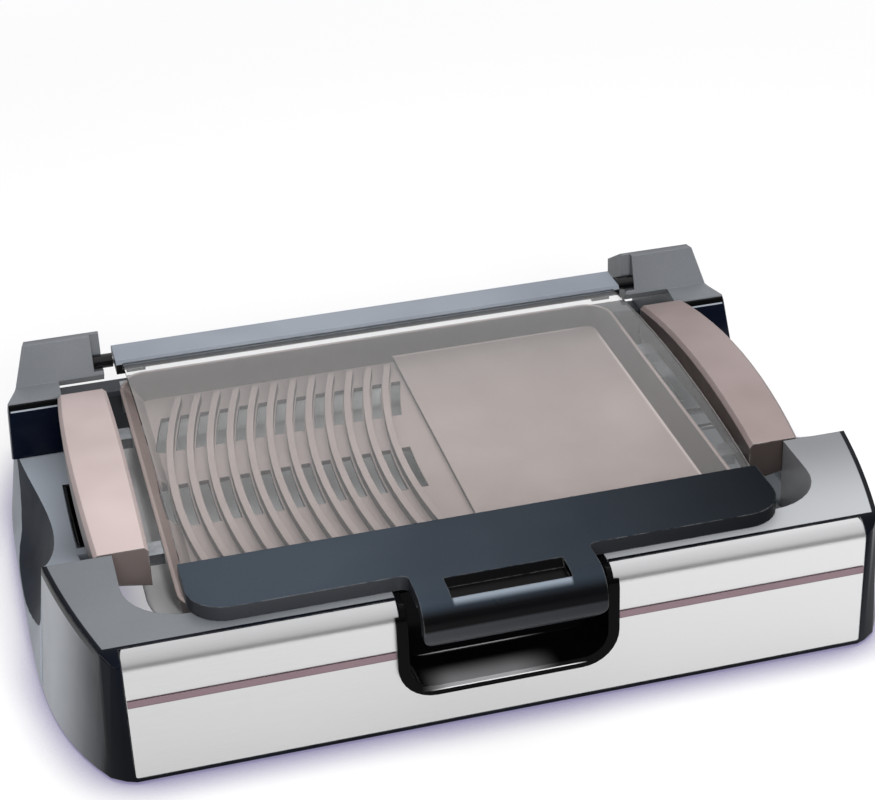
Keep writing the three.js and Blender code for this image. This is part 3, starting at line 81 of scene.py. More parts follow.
class Tree:
    """A node tree with short calls for adding and linking nodes."""

    def __init__(self, tree):
        self.nodes = tree.nodes
        self.links = tree.links

    def add(self, kind, **settings):
        node = self.nodes.new(kind)
        for key, value in settings.items():
            setattr(node, key, value)
        return node

    def put(self, value, socket):
        if isinstance(value, bpy.types.NodeSocket):
            self.links.new(value, socket)
        else:
            socket.default_value = value

    def math(self, operation, a, b=0.0):
        node = self.add("ShaderNodeMath", operation=operation)
        self.put(a, node.inputs[0])
        self.put(b, node.inputs[1])
        return node.outputs[0]

    def times(self, first, *others):
        for other in others:
            first = self.math("MULTIPLY", first, other)
        return first

    def most(self, first, *others):
        for other in others:
            first = self.math("MAXIMUM", first, other)
        return first

    def rest(self, value):
        """What a share leaves of 1."""
        return self.math("SUBTRACT", 1.0, value)

    def apart(self, value, centre):
        """How far a value lies from a centre."""
        return self.math("ABSOLUTE", self.math("SUBTRACT", value, centre))

    def ranged(self, value, low, high, to_low=0.0, to_high=1.0, soft=False):
        node = self.add("ShaderNodeMapRange", interpolation_type="SMOOTHSTEP" if soft else "LINEAR")
        self.put(value, node.inputs["Value"])
        limits = {"From Min": low, "From Max": high, "To Min": to_low, "To Max": to_high}
        for socket, number in limits.items():
            node.inputs[socket].default_value = number
        return node.outputs["Result"]

    def mix(self, share, a, b):
        node = self.add("ShaderNodeMix", data_type="RGBA")
        self.put(share, node.inputs["Factor"])
        self.put(a, node.inputs["A"])
        self.put(b, node.inputs["B"])
        return node.outputs["Result"]

    def coords(self, stretch=(1, 1, 1)):
        where = self.add("ShaderNodeTexCoord")
        if stretch == (1, 1, 1):
            return where.outputs["Object"]
        mapping = self.add("ShaderNodeMapping")
        mapping.inputs["Scale"].default_value = stretch
        self.links.new(where.outputs["Object"], mapping.inputs["Vector"])
        return mapping.outputs["Vector"]

    def noise(self, scale, detail=3.0, rough=0.55, stretch=(1, 1, 1)):
        node = self.add("ShaderNodeTexNoise")
        node.inputs["Scale"].default_value = scale
        node.inputs["Detail"].default_value = detail
        node.inputs["Roughness"].default_value = rough
        self.links.new(self.coords(stretch), node.inputs["Vector"])
        return node.outputs["Fac"]

    def clouds(self, scale, deep, pale):
        """A slow change between two colours."""
        return self.mix(self.ranged(self.noise(scale, 2.0), 0.35, 0.65), srgb(deep), srgb(pale))

    def haze(self, scale, low, high):
        """A roughness that wanders between two values."""
        return self.ranged(self.noise(scale, 4.0), 0.3, 0.7, low, high)

    def bump(self, height, strength, distance, normal):
        node = self.add("ShaderNodeBump")
        node.inputs["Strength"].default_value = strength
        node.inputs["Distance"].default_value = distance
        self.links.new(height, node.inputs["Height"])
        if normal is not None:
            self.links.new(normal, node.inputs["Normal"])
        return node.outputs["Normal"]

    def rounded(self, radius):
        node = self.add("ShaderNodeBevel", samples=6)
        node.inputs["Radius"].default_value = radius
        return node.outputs["Normal"]


class Spot:
    """Where a point of a face lies, and which way the face looks."""

    def __init__(self, tree):
        where = tree.add("ShaderNodeTexCoord")
        place = tree.add("ShaderNodeSeparateXYZ")
        face = tree.add("ShaderNodeSeparateXYZ")
        tree.links.new(where.outputs["Object"], place.inputs[0])
        tree.links.new(where.outputs["Normal"], face.inputs[0])
        self.x, self.y, self.z = (place.outputs[axis] for axis in "XYZ")
        self.from_middle = tree.math("ABSOLUTE", self.x)
        self.out = tree.times(face.outputs["X"], tree.math("SIGN", self.x))
        self.sideways = tree.math("ABSOLUTE", face.outputs["X"])
        self.front = tree.times(face.outputs["Y"], -1.0)
        self.up = face.outputs["Z"]


def new_material(name):
    material = bpy.data.materials.new(name)
    material.use_nodes = True
    tree = Tree(material.node_tree)
    tree.nodes.clear()
    shader = tree.add("ShaderNodeBsdfPrincipled")
    output = tree.add("ShaderNodeOutputMaterial")
    tree.links.new(shader.outputs[0], output.inputs["Surface"])
    return material, tree, shader, output


def edge_share(tree, radius):
    """1 along convex and concave edges, 0 on plain faces."""
    plain = tree.add("ShaderNodeNewGeometry")
    dot = tree.add("ShaderNodeVectorMath", operation="DOT_PRODUCT")
    tree.links.new(tree.rounded(radius), dot.inputs[0])
    tree.links.new(plain.outputs["Normal"], dot.inputs[1])
    return tree.ranged(tree.rest(dot.outputs["Value"]), 0.02, 0.22)


def worn_and_highlit(tree, tone, radius, share, scale=150.0):
    """A colour with its edges paled here and there: rubbed wear at a small share, a painted highlight at
    a large one.
    """
    edge_pale = tree.times(edge_share(tree, radius), share)
    return tree.mix(tree.times(edge_pale, tree.ranged(tree.noise(scale, 4.0), 0.35, 0.6)), tone, WHITE)


def grained(tree, shader, scale, strength, normal, detail=2.0, distance=0.0002):
    """Gives a shader a fine relief over an already rounded normal."""
    tree.put(tree.bump(tree.noise(scale, detail), strength, distance, normal), shader.inputs["Normal"])


# Materials


def moulded(name, pale, deep, rough=(0.36, 0.46), metallic=0.0, edge=0.1, radius=0.0006, upright_painted_light=1.0):
    """Satin moulded plastic: a fine grain, slow changes of tone and slightly worn edges, with painted
    shade on upright faces where asked.
    """
    material, tree, shader, _ = new_material(name)
    tone = tree.clouds(14.0, deep, pale)
    # Painted shade: faces that stand upright are darkened toward brown.
    if upright_painted_light < 1.0:
        tone = tree.mix(tree.ranged(Spot(tree).up, 0.35, 0.8, upright_painted_light, 1.0), BROWN_SHADE, tone)
    tree.put(worn_and_highlit(tree, tone, radius * 1.5, edge, 140.0), shader.inputs["Base Color"])
    tree.put(tree.haze(55.0, *rough), shader.inputs["Roughness"])
    shader.inputs["Metallic"].default_value = metallic
    grained(tree, shader, 2600.0, 0.05, tree.rounded(radius))
    return material


def inside_curve(tree, spot):
    """How far a point of the top of the base lies inside its swelling outer side."""
    middle_y, half_run, swell, corner_half = 0.01, 0.22, 0.035, 0.245
    run = tree.math("DIVIDE", tree.math("SUBTRACT", spot.y, middle_y), half_run)
    bulge = tree.times(tree.rest(tree.times(run, run)), swell)
    return tree.math("SUBTRACT", tree.math("ADD", bulge, corner_half), spot.from_middle)


def block_mask(tree, spot):
    """The black trim of the front block: its outer edge, front corners and frame round the panel, and
    painted shade on its sides that deepens toward the front corners.
    """
    trim_low, trim_wide, corner_y, frame_y = 0.0878, 0.0030, -0.1985, -0.1966
    side = tree.ranged(spot.out, 0.2, 0.3)
    flat = tree.ranged(spot.up, 0.55, 0.65)
    face = tree.ranged(spot.front, 0.5, 0.6)
    high = tree.times(side, tree.ranged(spot.z, trim_low, trim_low + 0.0008))
    lip = tree.times(flat, tree.ranged(inside_curve(tree, spot), trim_wide + 0.0006, trim_wide))
    corner = tree.times(side, tree.ranged(spot.y, corner_y, corner_y - 0.0008))
    line = tree.times(flat, tree.ranged(spot.y, frame_y, frame_y - 0.0005))
    # Painted shade on the sides, deepening toward the front.
    painted_side_shade = tree.ranged(spot.y, -0.203, -0.120, 0.95, 0.0, soft=True)
    mask = tree.most(high, lip, corner, face, line)
    return mask, tree.most(high, lip), tree.rest(tree.times(side, painted_side_shade))


def frame_mask(tree, spot):
    """The dark hollow in the outer side of a saddle, over a grey skirt that rises to both its ends, with
    the grey painted darker, shade, toward the rear.
    """
    middle_y, half_run, skirt_low, skirt_rise = 0.017, 0.114, 0.010, 0.050
    run = tree.math("ABSOLUTE", tree.math("DIVIDE", tree.math("SUBTRACT", spot.y, middle_y), half_run))
    skirt = tree.math("ADD", tree.times(tree.math("POWER", run, 3.0), skirt_rise), skirt_low)
    above = tree.ranged(tree.math("SUBTRACT", spot.z, skirt), 0.0, 0.0006)
    # Painted shade: the grey darkens toward the tower at the rear.
    shade = tree.ranged(spot.y, 0.040, 0.125, 1.0, 0.68, soft=True)
    return tree.times(tree.ranged(spot.out, 0.12, 0.2), above), None, shade


def tower_mask(tree, spot):
    """The black cap on the front of a tower laps a little round its outer side."""
    cap_top, cap_y, lean = 0.0885, 0.1335, 0.44
    edge = tree.math("SUBTRACT", cap_y, tree.times(tree.math("SUBTRACT", cap_top, spot.z), lean))
    near = tree.ranged(tree.math("SUBTRACT", edge, spot.y), 0.0, 0.0008)
    below = tree.ranged(spot.z, cap_top + 0.0004, cap_top - 0.0005)
    return tree.times(tree.ranged(spot.out, 0.2, 0.3), near, below), None, None


def block_painted_light(tree, spot, grey):
    """Painted light and shade on the front block: lighter to the right, darker again behind there, and
    lighter on its sides.
    """
    grey = tree.mix(tree.ranged(spot.x, -0.20, 0.26), grey, srgb("b4b6b9"))
    # Painted shade behind the lighter right part.
    behind = tree.ranged(spot.y, -0.190, -0.100, 0.0, 0.62, soft=True)
    behind = tree.times(behind, tree.ranged(spot.x, 0.14, 0.24, soft=True))
    grey = tree.mix(behind, grey, srgb("505154"))
    # Painted light on the sides.
    return tree.mix(tree.ranged(spot.out, 0.2, 0.4, 0.0, 0.9), grey, srgb("b9bdc3"))


def housing(name, masks, dark_codes, dark_rough, dark_shine, grey_codes, painted_light=None):
    """Satin silver-grey moulding with near-black zones, and a fine grain.

    masks gives three shares: near-black, edges that are rounded wider, and how much of the grey stays
    clear of painted shade. An optional painter adds painted light and shade to the grey.
    """
    material, tree, shader, _ = new_material(name)
    spot = Spot(tree)
    grey = tree.clouds(7.0, *grey_codes)
    sparkle = tree.ranged(tree.noise(3200.0, 1.0), 0.58, 0.72, 0.0, 0.18)
    grey = tree.mix(sparkle, grey, srgb("c9ccd0"))
    mask, round_zone, shade = masks(tree, spot)
    dull = mask
    if painted_light is not None:
        grey = painted_light(tree, spot, grey)
    if shade is not None:
        # Painted shade: the grey darkens toward near-black where the shade share falls.
        grey = tree.mix(shade, srgb("16181c"), grey)
        dull = tree.most(mask, tree.rest(shade))
    tone = tree.mix(mask, grey, tree.clouds(16.0, *dark_codes))
    tree.put(worn_and_highlit(tree, tone, 0.0009, 0.10), shader.inputs["Base Color"])
    rough = tree.add("ShaderNodeMix", data_type="FLOAT")
    tree.put(mask, rough.inputs["Factor"])
    tree.put(tree.haze(60.0, 0.38, 0.46), rough.inputs["A"])
    tree.put(tree.haze(45.0, dark_rough - 0.03, dark_rough + 0.05), rough.inputs["B"])
    tree.put(rough.outputs["Result"], shader.inputs["Roughness"])
    tree.put(tree.times(tree.rest(dull), 0.18), shader.inputs["Metallic"])
    tree.put(tree.ranged(dull, 0.0, 1.0, 0.32, dark_shine), shader.inputs["Specular IOR Level"])
    normal = tree.rounded(0.0008)
    if round_zone is not None:
        blend = tree.add("ShaderNodeMix", data_type="VECTOR")
        tree.put(round_zone, blend.inputs["Factor"])
        tree.links.new(normal, blend.inputs[4])
        tree.links.new(tree.rounded(0.0034), blend.inputs[5])
        normal = blend.outputs[1]
    grained(tree, shader, 2400.0, 0.05, normal)
    return material


def handle_slot(tree, spot, tone):
    """The slot behind the rolled handle of the lid is painted near-black, shade, with a painted highlight
    along the ridge at its front.
    """
    half, front, rear, top = 0.0381, -0.2199, -0.2004, 0.1039
    # Painted shade: the deep slot is near-black.
    slot = tree.times(
        tree.ranged(spot.from_middle, half + 0.0004, half), tree.ranged(spot.y, front - 0.0003, front),
        tree.ranged(spot.y, rear + 0.0003, rear), tree.ranged(spot.z, top + 0.0002, top),
    )
    tone = tree.mix(slot, tone, srgb("020203"))
    # Painted highlight along the ridge in front of the slot.
    ridge_highlight = tree.times(
        tree.ranged(spot.from_middle, half, half - 0.0015), tree.ranged(spot.y, front, front - 0.0003),
        tree.ranged(spot.y, front - 0.0052, front - 0.0012, soft=True),
    )
    return tree.mix(ridge_highlight, tone, srgb("77808a"))


def shaded_bar(name, tops, shaded_fronts, rough, fore, right, shine, edge=None, detail=None):
    """A satin bar with painted shade: darker on its front and its underside than on its top, and darker
    to the right, where faces looking down can take a paler painted reflection.
    """
    material, tree, shader, _ = new_material(name)
    spot = Spot(tree)
    radius = 0.0014
    low = tree.clouds(10.0, *shaded_fronts)
    if edge is not None:
        # Painted reflection: faces that look down take a paler colour.
        low = tree.mix(tree.ranged(spot.up, 0.10, -0.03, soft=True), low, srgb(edge))
    # Painted shade: faces that turn away from the top darken.
    level = tree.ranged(spot.up, 1.0 - fore[0], 1.0 - fore[1], soft=True)
    tone = tree.mix(level, tree.clouds(10.0, *tops), low)
    # Painted shade to the right, which also weakens the shine.
    right_shade = tree.ranged(spot.x, -0.10, 0.20, 1.0, right)
    tone = tree.mix(right_shade, srgb("08090b"), tone)
    if detail is not None:
        tone = detail(tree, spot, tone)
    tree.put(worn_and_highlit(tree, tone, radius, 0.10), shader.inputs["Base Color"])
    tree.put(tree.haze(60.0, *rough), shader.inputs["Roughness"])
    tree.put(tree.times(right_shade, shine), shader.inputs["Specular IOR Level"])
    grained(tree, shader, 2200.0, 0.04, tree.rounded(radius))
    return material


def face_frame(tree, ground):
    """The gloss face of a tower: blacker in its upper part, which a thin painted highlight line sets off.
    """
    spot = Spot(tree)
    low, inner, outer = 0.0833, 0.2145, 0.273
    ground = tree.mix(tree.ranged(spot.z, low, low + 0.0003), ground, srgb("020203"))
    run = tree.times(
        tree.ranged(spot.from_middle, outer + 0.0005, outer - 0.0005),
        tree.ranged(spot.from_middle, inner - 0.0005, inner + 0.0005),
    )
    # A painted highlight line just under the black upper part.
    line = tree.times(tree.ranged(tree.apart(spot.z, low), 0.0007, 0.0004, 0.0, 0.85), run)
    return tree.mix(line, ground, srgb("a4abb4"))


def glossy(name, code, rough=0.09, radius=0.0008, shine=0.5, detail=None):
    """Polished black plastic with a slight orange peel, hairline wipe marks and a trace of dust."""
    material, tree, shader, _ = new_material(name)
    ground = srgb(code) if detail is None else detail(tree, srgb(code))
    dust = tree.ranged(tree.noise(90.0, 6.0, 0.7), 0.62, 0.82)
    tree.put(tree.mix(tree.times(dust, 0.05), ground, srgb("6b7078")), shader.inputs["Base Color"])
    wipe = tree.noise(70.0, 4.0, 0.6, (1, 6, 6))
    tree.put(tree.ranged(wipe, 0.35, 0.75, rough, rough + 0.08), shader.inputs["Roughness"])
    shader.inputs["Specular IOR Level"].default_value = shine
    grained(tree, shader, 320.0, 0.03, tree.rounded(radius), distance=0.0003)
    return material


def notch_black(name):
    """The black moulding of the hand notch: a dull rim, with painted highlights: a paler floor and rim
    along its front edge, and a bright line at the rim's foot.
    """
    material, tree, shader, _ = new_material(name)
    spot = Spot(tree)
    near, floor_deep, rim_low, rim_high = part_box("notch_liner")[0][1], 0.020, 0.0306, 0.0345
    # Painted highlights on the floor and the rim fall in this zone across the notch.
    lit = tree.times(
        tree.ranged(spot.x, -0.058, -0.035, soft=True), tree.ranged(spot.x, 0.034, 0.000, soft=True)
    )
    bottom = tree.times(
        tree.ranged(spot.up, 0.5, 0.8), tree.ranged(spot.z, 0.045, 0.040),
        tree.ranged(spot.y, near + 0.001, near + 0.001 + floor_deep, 0.50, 0.0, soft=True),
    )
    inner = tree.times(
        tree.ranged(spot.front, 0.5, 0.8), tree.ranged(spot.z, rim_low, rim_low + 0.0004),
        tree.ranged(spot.z, rim_high + 0.0005, rim_high), 0.50,
    )
    tone = tree.mix(tree.times(tree.most(bottom, inner), lit), srgb("040405"), srgb("b4b4b6"))
    # A painted highlight line along the foot of the rim.
    line = tree.times(
        tree.ranged(tree.apart(spot.z, rim_low + 0.0001), 0.0005, 0.0002, 0.0, 0.8),
        tree.ranged(spot.x, -0.052, -0.040), tree.ranged(spot.x, 0.050, 0.042), spot.front,
    )
    tree.put(tree.mix(line, tone, srgb("e6e6e6")), shader.inputs["Base Color"])
    tree.put(tree.ranged(tree.noise(70.0, 4.0), 0.35, 0.75, 0.12, 0.2), shader.inputs["Roughness"])
    tree.put(tree.ranged(spot.front, 0.3, 0.7, 0.35, 0.06), shader.inputs["Specular IOR Level"])
    grained(tree, shader, 320.0, 0.03, tree.rounded(0.0008), distance=0.0003)
    return material


def brushed_steel(name):
    """Stainless sheet, finely brushed along its length, with a few longer hairlines, and painted light
    that makes it paler toward the right.
    """
    material, tree, shader, _ = new_material(name)
    streak = tree.noise(4200.0, 3.0, 0.6, (0.006, 1, 1))
    hair = tree.noise(1500.0, 2.0, 0.5, (0.004, 1, 1))
    broad = tree.noise(9.0, 2.0, 0.5, (0.3, 1, 1))
    tone = tree.mix(tree.ranged(streak, 0.3, 0.7), srgb("dcdcdc"), srgb("e4e4e4"))
    tone = tree.mix(tree.ranged(hair, 0.62, 0.72, 0.0, 0.04), tone, srgb("a9aaac"))
    tone = tree.mix(tree.ranged(broad, 0.4, 0.6, 0.0, 0.25), tone, srgb("dededd"))
    # Painted light: paler toward the right.
    tone = tree.mix(tree.ranged(Spot(tree).x, -0.25, 0.25, 0.0, 0.8), tone, srgb("f6f6f6"))
    tree.put(tone, shader.inputs["Base Color"])
    shader.inputs["Metallic"].default_value = 1.0
    tree.put(tree.ranged(streak, 0.3, 0.7, 0.33, 0.36), shader.inputs["Roughness"])
    shader.inputs["Anisotropic"].default_value = 0.4
    tree.put(tree.bump(streak, 0.001, 0.0001, tree.rounded(0.0005)), shader.inputs["Normal"])
    return material


def bare_metal(name, pale, deep, rough=(0.28, 0.42), spots=0.25):
    """Plated or bare metal with slight clouding and darker spots in its finish."""
    material, tree, shader, _ = new_material(name)
    cloud = tree.ranged(tree.noise(120.0, 5.0, 0.6), 0.3, 0.7)
    tone = tree.mix(cloud, srgb(deep), srgb(pale))
    fleck = tree.times(tree.ranged(tree.noise(420.0, 3.0), 0.6, 0.75), spots)
    tree.put(tree.mix(fleck, tone, srgb("3a3835")), shader.inputs["Base Color"])
    shader.inputs["Metallic"].default_value = 1.0
    tree.put(tree.ranged(cloud, 0.0, 1.0, rough[1], rough[0]), shader.inputs["Roughness"])
    grained(tree, shader, 900.0, 0.06, tree.rounded(0.0004), detail=3.0)
    return material


def plate_shade(tree, tone):
    """Painted shade on the plate's steep faces and ribs, most on its rear, right and front walls, and a
    painted highlight line along the foot of the walls.
    """
    spot = Spot(tree)
    middle_y, rib_left_x, rib_half_y = 0.015, -0.1805, 0.149
    wall_from, foot_x, foot_y = 0.150, 0.1775, 0.1595
    ribs = tree.times(
        tree.ranged(spot.x, rib_left_x, rib_left_x + 0.001),
        tree.ranged(tree.apart(spot.y, middle_y), rib_half_y + 0.001, rib_half_y),
    )
    steep_shade = tree.times(tree.ranged(spot.up, 0.85, 0.35), tree.ranged(ribs, 0.0, 1.0, 0.30, 0.90))
    rear = tree.times(
        tree.ranged(spot.front, 0.2, 0.5), tree.ranged(spot.y, wall_from, wall_from + 0.006),
        tree.ranged(spot.x, -0.19, 0.05, 0.80, 0.92),
    )
    right = tree.times(
        tree.ranged(spot.out, -0.25, -0.5), tree.ranged(spot.x, wall_from, wall_from + 0.006), 0.80
    )
    front = tree.times(
        tree.ranged(spot.front, 0.5, 0.8), tree.ranged(spot.y, -0.140, -0.142),
        tree.ranged(spot.x, 0.03, 0.19, 0.0, 0.78, soft=True),
    )
    # Painted shade toward brown.
    tone = tree.mix(tree.most(steep_shade, rear, right, front), tone, BROWN_SHADE)
    # A painted highlight line along the foot of the right and rear walls.
    near_x = tree.ranged(tree.apart(spot.x, foot_x), 0.0014, 0.0003)
    near_y = tree.ranged(tree.apart(spot.y, foot_y), 0.0014, 0.0003)
    foot = tree.most(
        tree.times(near_x, tree.ranged(spot.y, 0.150, 0.140)),
        tree.times(near_y, tree.ranged(spot.x, 0.168, 0.158)),
    )
    return tree.mix(tree.times(foot, tree.ranged(spot.up, 0.90, 0.97, 0.0, 0.5)), tone, srgb("e2d6d3"))


def coated(name, pale, deep, fleck_code, rough, metallic, peel, flecks, edge_code=None, shading=None):
    """A sprayed hard coating on metal: a satin ground with fine flecks, mottling and orange peel."""
    material, tree, shader, _ = new_material(name)
    radius = 0.0012
    ground = tree.mix(tree.ranged(tree.noise(11.0, 3.0), 0.3, 0.7), srgb(deep), srgb(pale))
    mottle = tree.noise(230.0, 5.0, 0.65)
    ground = tree.mix(tree.ranged(mottle, 0.42, 0.7, 0.0, 0.22), ground, srgb(deep))
    cells = tree.add("ShaderNodeTexVoronoi")
    cells.inputs["Scale"].default_value = 1500.0
    tree.links.new(tree.coords(), cells.inputs["Vector"])
    split = tree.add("ShaderNodeSeparateColor")
    tree.links.new(cells.outputs["Color"], split.inputs[0])
    speck = tree.times(
        tree.ranged(cells.outputs["Distance"], 0.16, 0.06),
        tree.ranged(split.outputs[0], 0.72, 0.76), flecks,
    )
    tone = tree.mix(speck, ground, srgb(fleck_code))
    if shading is not None:
        tone = shading(tree, tone)
    if edge_code is not None:
        tone = tree.mix(tree.times(edge_share(tree, radius), 0.35), tone, srgb(edge_code))
    tree.put(tone, shader.inputs["Base Color"])
    shader.inputs["Metallic"].default_value = metallic
    tree.put(tree.ranged(mottle, 0.3, 0.7, *rough), shader.inputs["Roughness"])
    grained(tree, shader, 520.0, peel, tree.rounded(radius), detail=3.0, distance=0.0003)
    return material


def clear_glass(name):
    """Tempered glass: clear, with its cut edges painted dark, shade, and hardly a shadow of its own."""
    material, tree, shader, output = new_material(name)
    # Painted shade: faces seen edge-on, the cut edges, are near-black and let no light through.
    side = tree.ranged(Spot(tree).sideways, 0.6, 0.8)
    clear, cut_edge_shade = (0.985, 0.99, 0.99, 1.0), (0.010, 0.012, 0.013, 1.0)
    tree.put(tree.mix(side, clear, cut_edge_shade), shader.inputs["Base Color"])
    tree.put(tree.rest(side), shader.inputs["Transmission Weight"])
    shader.inputs["IOR"].default_value = 1.47
    smear = tree.noise(26.0, 5.0, 0.65)
    tree.put(tree.ranged(smear, 0.45, 0.8, 0.0, 0.035), shader.inputs["Roughness"])
    grained(tree, shader, 9.0, 0.02, None, detail=1.0, distance=0.0004)
    path = tree.add("ShaderNodeLightPath")
    through = tree.add("ShaderNodeBsdfTransparent")
    through.inputs[0].default_value = (0.975, 0.98, 0.98, 1.0)
    mixed = tree.add("ShaderNodeMixShader")
    tree.put(tree.most(path.outputs["Is Shadow Ray"], path.outputs["Is Diffuse Ray"]), mixed.inputs[0])
    tree.links.new(shader.outputs[0], mixed.inputs[1])
    tree.links.new(through.outputs[0], mixed.inputs[2])
    tree.links.new(mixed.outputs[0], output.inputs["Surface"])
    return material


def rubber(name):
    """Black rubber with dust in its grain."""
    material, tree, shader, _ = new_material(name)
    dust = tree.ranged(tree.noise(300.0, 5.0), 0.5, 0.8, 0.0, 0.5)
    tree.put(tree.mix(dust, srgb("17181a"), srgb("3b3b3c")), shader.inputs["Base Color"])
    tree.put(tree.ranged(tree.noise(120.0, 3.0), 0.3, 0.7, 0.78, 0.92), shader.inputs["Roughness"])
    grained(tree, shader, 1800.0, 0.2, tree.rounded(0.0005), detail=3.0, distance=0.0003)
    return material


def ceramic(name):
    """Unglazed steatite: cream, with pores and heat stains."""
    material, tree, shader, _ = new_material(name)
    pore = tree.ranged(tree.noise(600.0, 4.0), 0.6, 0.75)
    stain = tree.ranged(tree.noise(60.0, 4.0), 0.4, 0.8, 0.0, 0.5)
    tone = tree.mix(stain, srgb("e8e2d6"), srgb("c9bfae"))
    tree.put(tree.mix(pore, tone, srgb("9c9384")), shader.inputs["Base Color"])
    shader.inputs["Roughness"].default_value = 0.62
    grained(tree, shader, 700.0, 0.25, tree.rounded(0.0006), detail=4.0, distance=0.0003)
    return material


block_look = housing(
    "block", block_mask, ("05070d", "080c15"), 0.2, 0.08, ("686c70", "74787c"), painted_light=block_painted_light
)
frame_look = housing("saddle", frame_mask, ("20242c", "292e38"), 0.5, 0.08, ("969ca5", "a8b0ba"))
tower_look = housing("tower", tower_mask, ("040507", "07090d"), 0.16, 0.12, ("6d7074", "7c7f83"))
ledge_look = moulded("ledges", "a3a6aa", "8d9094")
# The rear tray ledges: the ledges' grey plastic painted dark, shade, with painted highlights along their
# edges.
shaded_shelf_look = moulded("shelf_ribs_painted_shade", "54575c", "3c3f44", rough=(0.2, 0.3), edge=0.7, radius=0.0012)
dark_look = moulded("underside", "23272f", "191d24", rough=(0.4, 0.52), edge=0.06)
# One plastic for both handles: the right one's copy is darker, painted shade, and both take painted shade
# on their upright faces.
handle_look = moulded(
    "handle_left", "c3b3b0", "b7a6a3", metallic=0.1, edge=0.2, radius=0.0014, upright_painted_light=0.26
)
shaded_handle_look = moulded(
    "handle_right", "988987", "8c7d7a", metallic=0.1, edge=0.2, radius=0.0014, upright_painted_light=0.12
)
steel_look = brushed_steel("panel_steel")
stripe_look = coated("stripe", "7a666b", "6f5c62", "93858a", (0.36, 0.46), 0.1, peel=0.05, flecks=0.3)
tray_look = coated(
    "tray_coating", "f2f2f2", "ebebec", "fafafa", (0.36, 0.48), 0.08, peel=0.06, flecks=0.2
)
plate_look = coated(
    "plate_coating", "a39490", "948581", "cbbdba", (0.34, 0.46), 0.2, peel=0.08, flecks=0.4,
    edge_code="c2b3b0", shading=plate_shade,
)
black_look = glossy("gloss_black", "060709")
liner_look = notch_black("notch_black")
face_look = glossy("tower_face", "050a18", rough=0.12, radius=0.0012, shine=0.2, detail=face_frame)
# The second codes of each bar are painted shade, and the front bar's underside colour is a painted
# reflection.
front_bar_look = shaded_bar(
    "front_bar", ("2d3640", "343d47"), ("020203", "040405"), (0.26, 0.34), fore=(0.1, 0.5), right=0.10,
    shine=0.12, edge="313337", detail=handle_slot,
)
rear_bar_look = shaded_bar(
    "rear_bar", ("858c96", "9097a0"), ("08090b", "0c0e11"), (0.34, 0.42), fore=(0.2, 0.5), right=0.9,
    shine=0.3,
)
zinc_look = bare_metal("zinc", "b9bcc0", "95989c")
pin_look = bare_metal("bright_pin", "c9cacb", "a9aaab", rough=(0.18, 0.28), spots=0.08)
heater_look = bare_metal("heater_sheath", "6c655d", "4a443e", rough=(0.42, 0.58), spots=0.5)
ceramic_look = ceramic("ceramic")
rubber_look = rubber("rubber")
glass_look = clear_glass("clear_glass")


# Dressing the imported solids


def smooth_group(degrees):
    """Geometry nodes that smooth a mesh except across edges sharper than an angle."""
    group = bpy.data.node_groups.new("smooth_by_angle", "GeometryNodeTree")
    group.interface.new_socket("Geometry", in_out="INPUT", socket_type="NodeSocketGeometry")
    group.interface.new_socket("Geometry", in_out="OUTPUT", socket_type="NodeSocketGeometry")
    tree = Tree(group)
    start = tree.add("NodeGroupInput")
    end = tree.add("NodeGroupOutput")
    plain = tree.add("GeometryNodeRemoveAttribute")
    plain.inputs["Name"].default_value = "custom_normal"
    faces = tree.add("GeometryNodeSetShadeSmooth", domain="FACE")
    edges = tree.add("GeometryNodeSetShadeSmooth", domain="EDGE")
    angle = tree.add("GeometryNodeInputMeshEdgeAngle")
    below = tree.add("FunctionNodeCompare", data_type="FLOAT", operation="LESS_THAN")
    tree.links.new(angle.outputs["Unsigned Angle"], below.inputs[0])
    below.inputs[1].default_value = math.radians(degrees)
    tree.links.new(start.outputs[0], plain.inputs[0])
    tree.links.new(plain.outputs[0], faces.inputs["Geometry"])
    tree.links.new(faces.outputs[0], edges.inputs["Geometry"])
    tree.links.new(below.outputs[0], edges.inputs["Shade Smooth"])
    tree.links.new(edges.outputs[0], end.inputs[0])
    return group


soft_edges = smooth_group(32)


def dress(name, material):
    """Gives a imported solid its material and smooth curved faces."""
    obj = nodes[name]
    for slot in obj.material_slots:
        slot.link = "OBJECT"
        slot.material = material
    weld = obj.modifiers.new("weld", "WELD")
    weld.merge_threshold = 0.00002
    smooth = obj.modifiers.new("smooth", "NODES")
    smooth.node_group = soft_edges


def both(*stems):
    return [f"{stem}_{side}" for stem in stems for side in ("left", "right")]


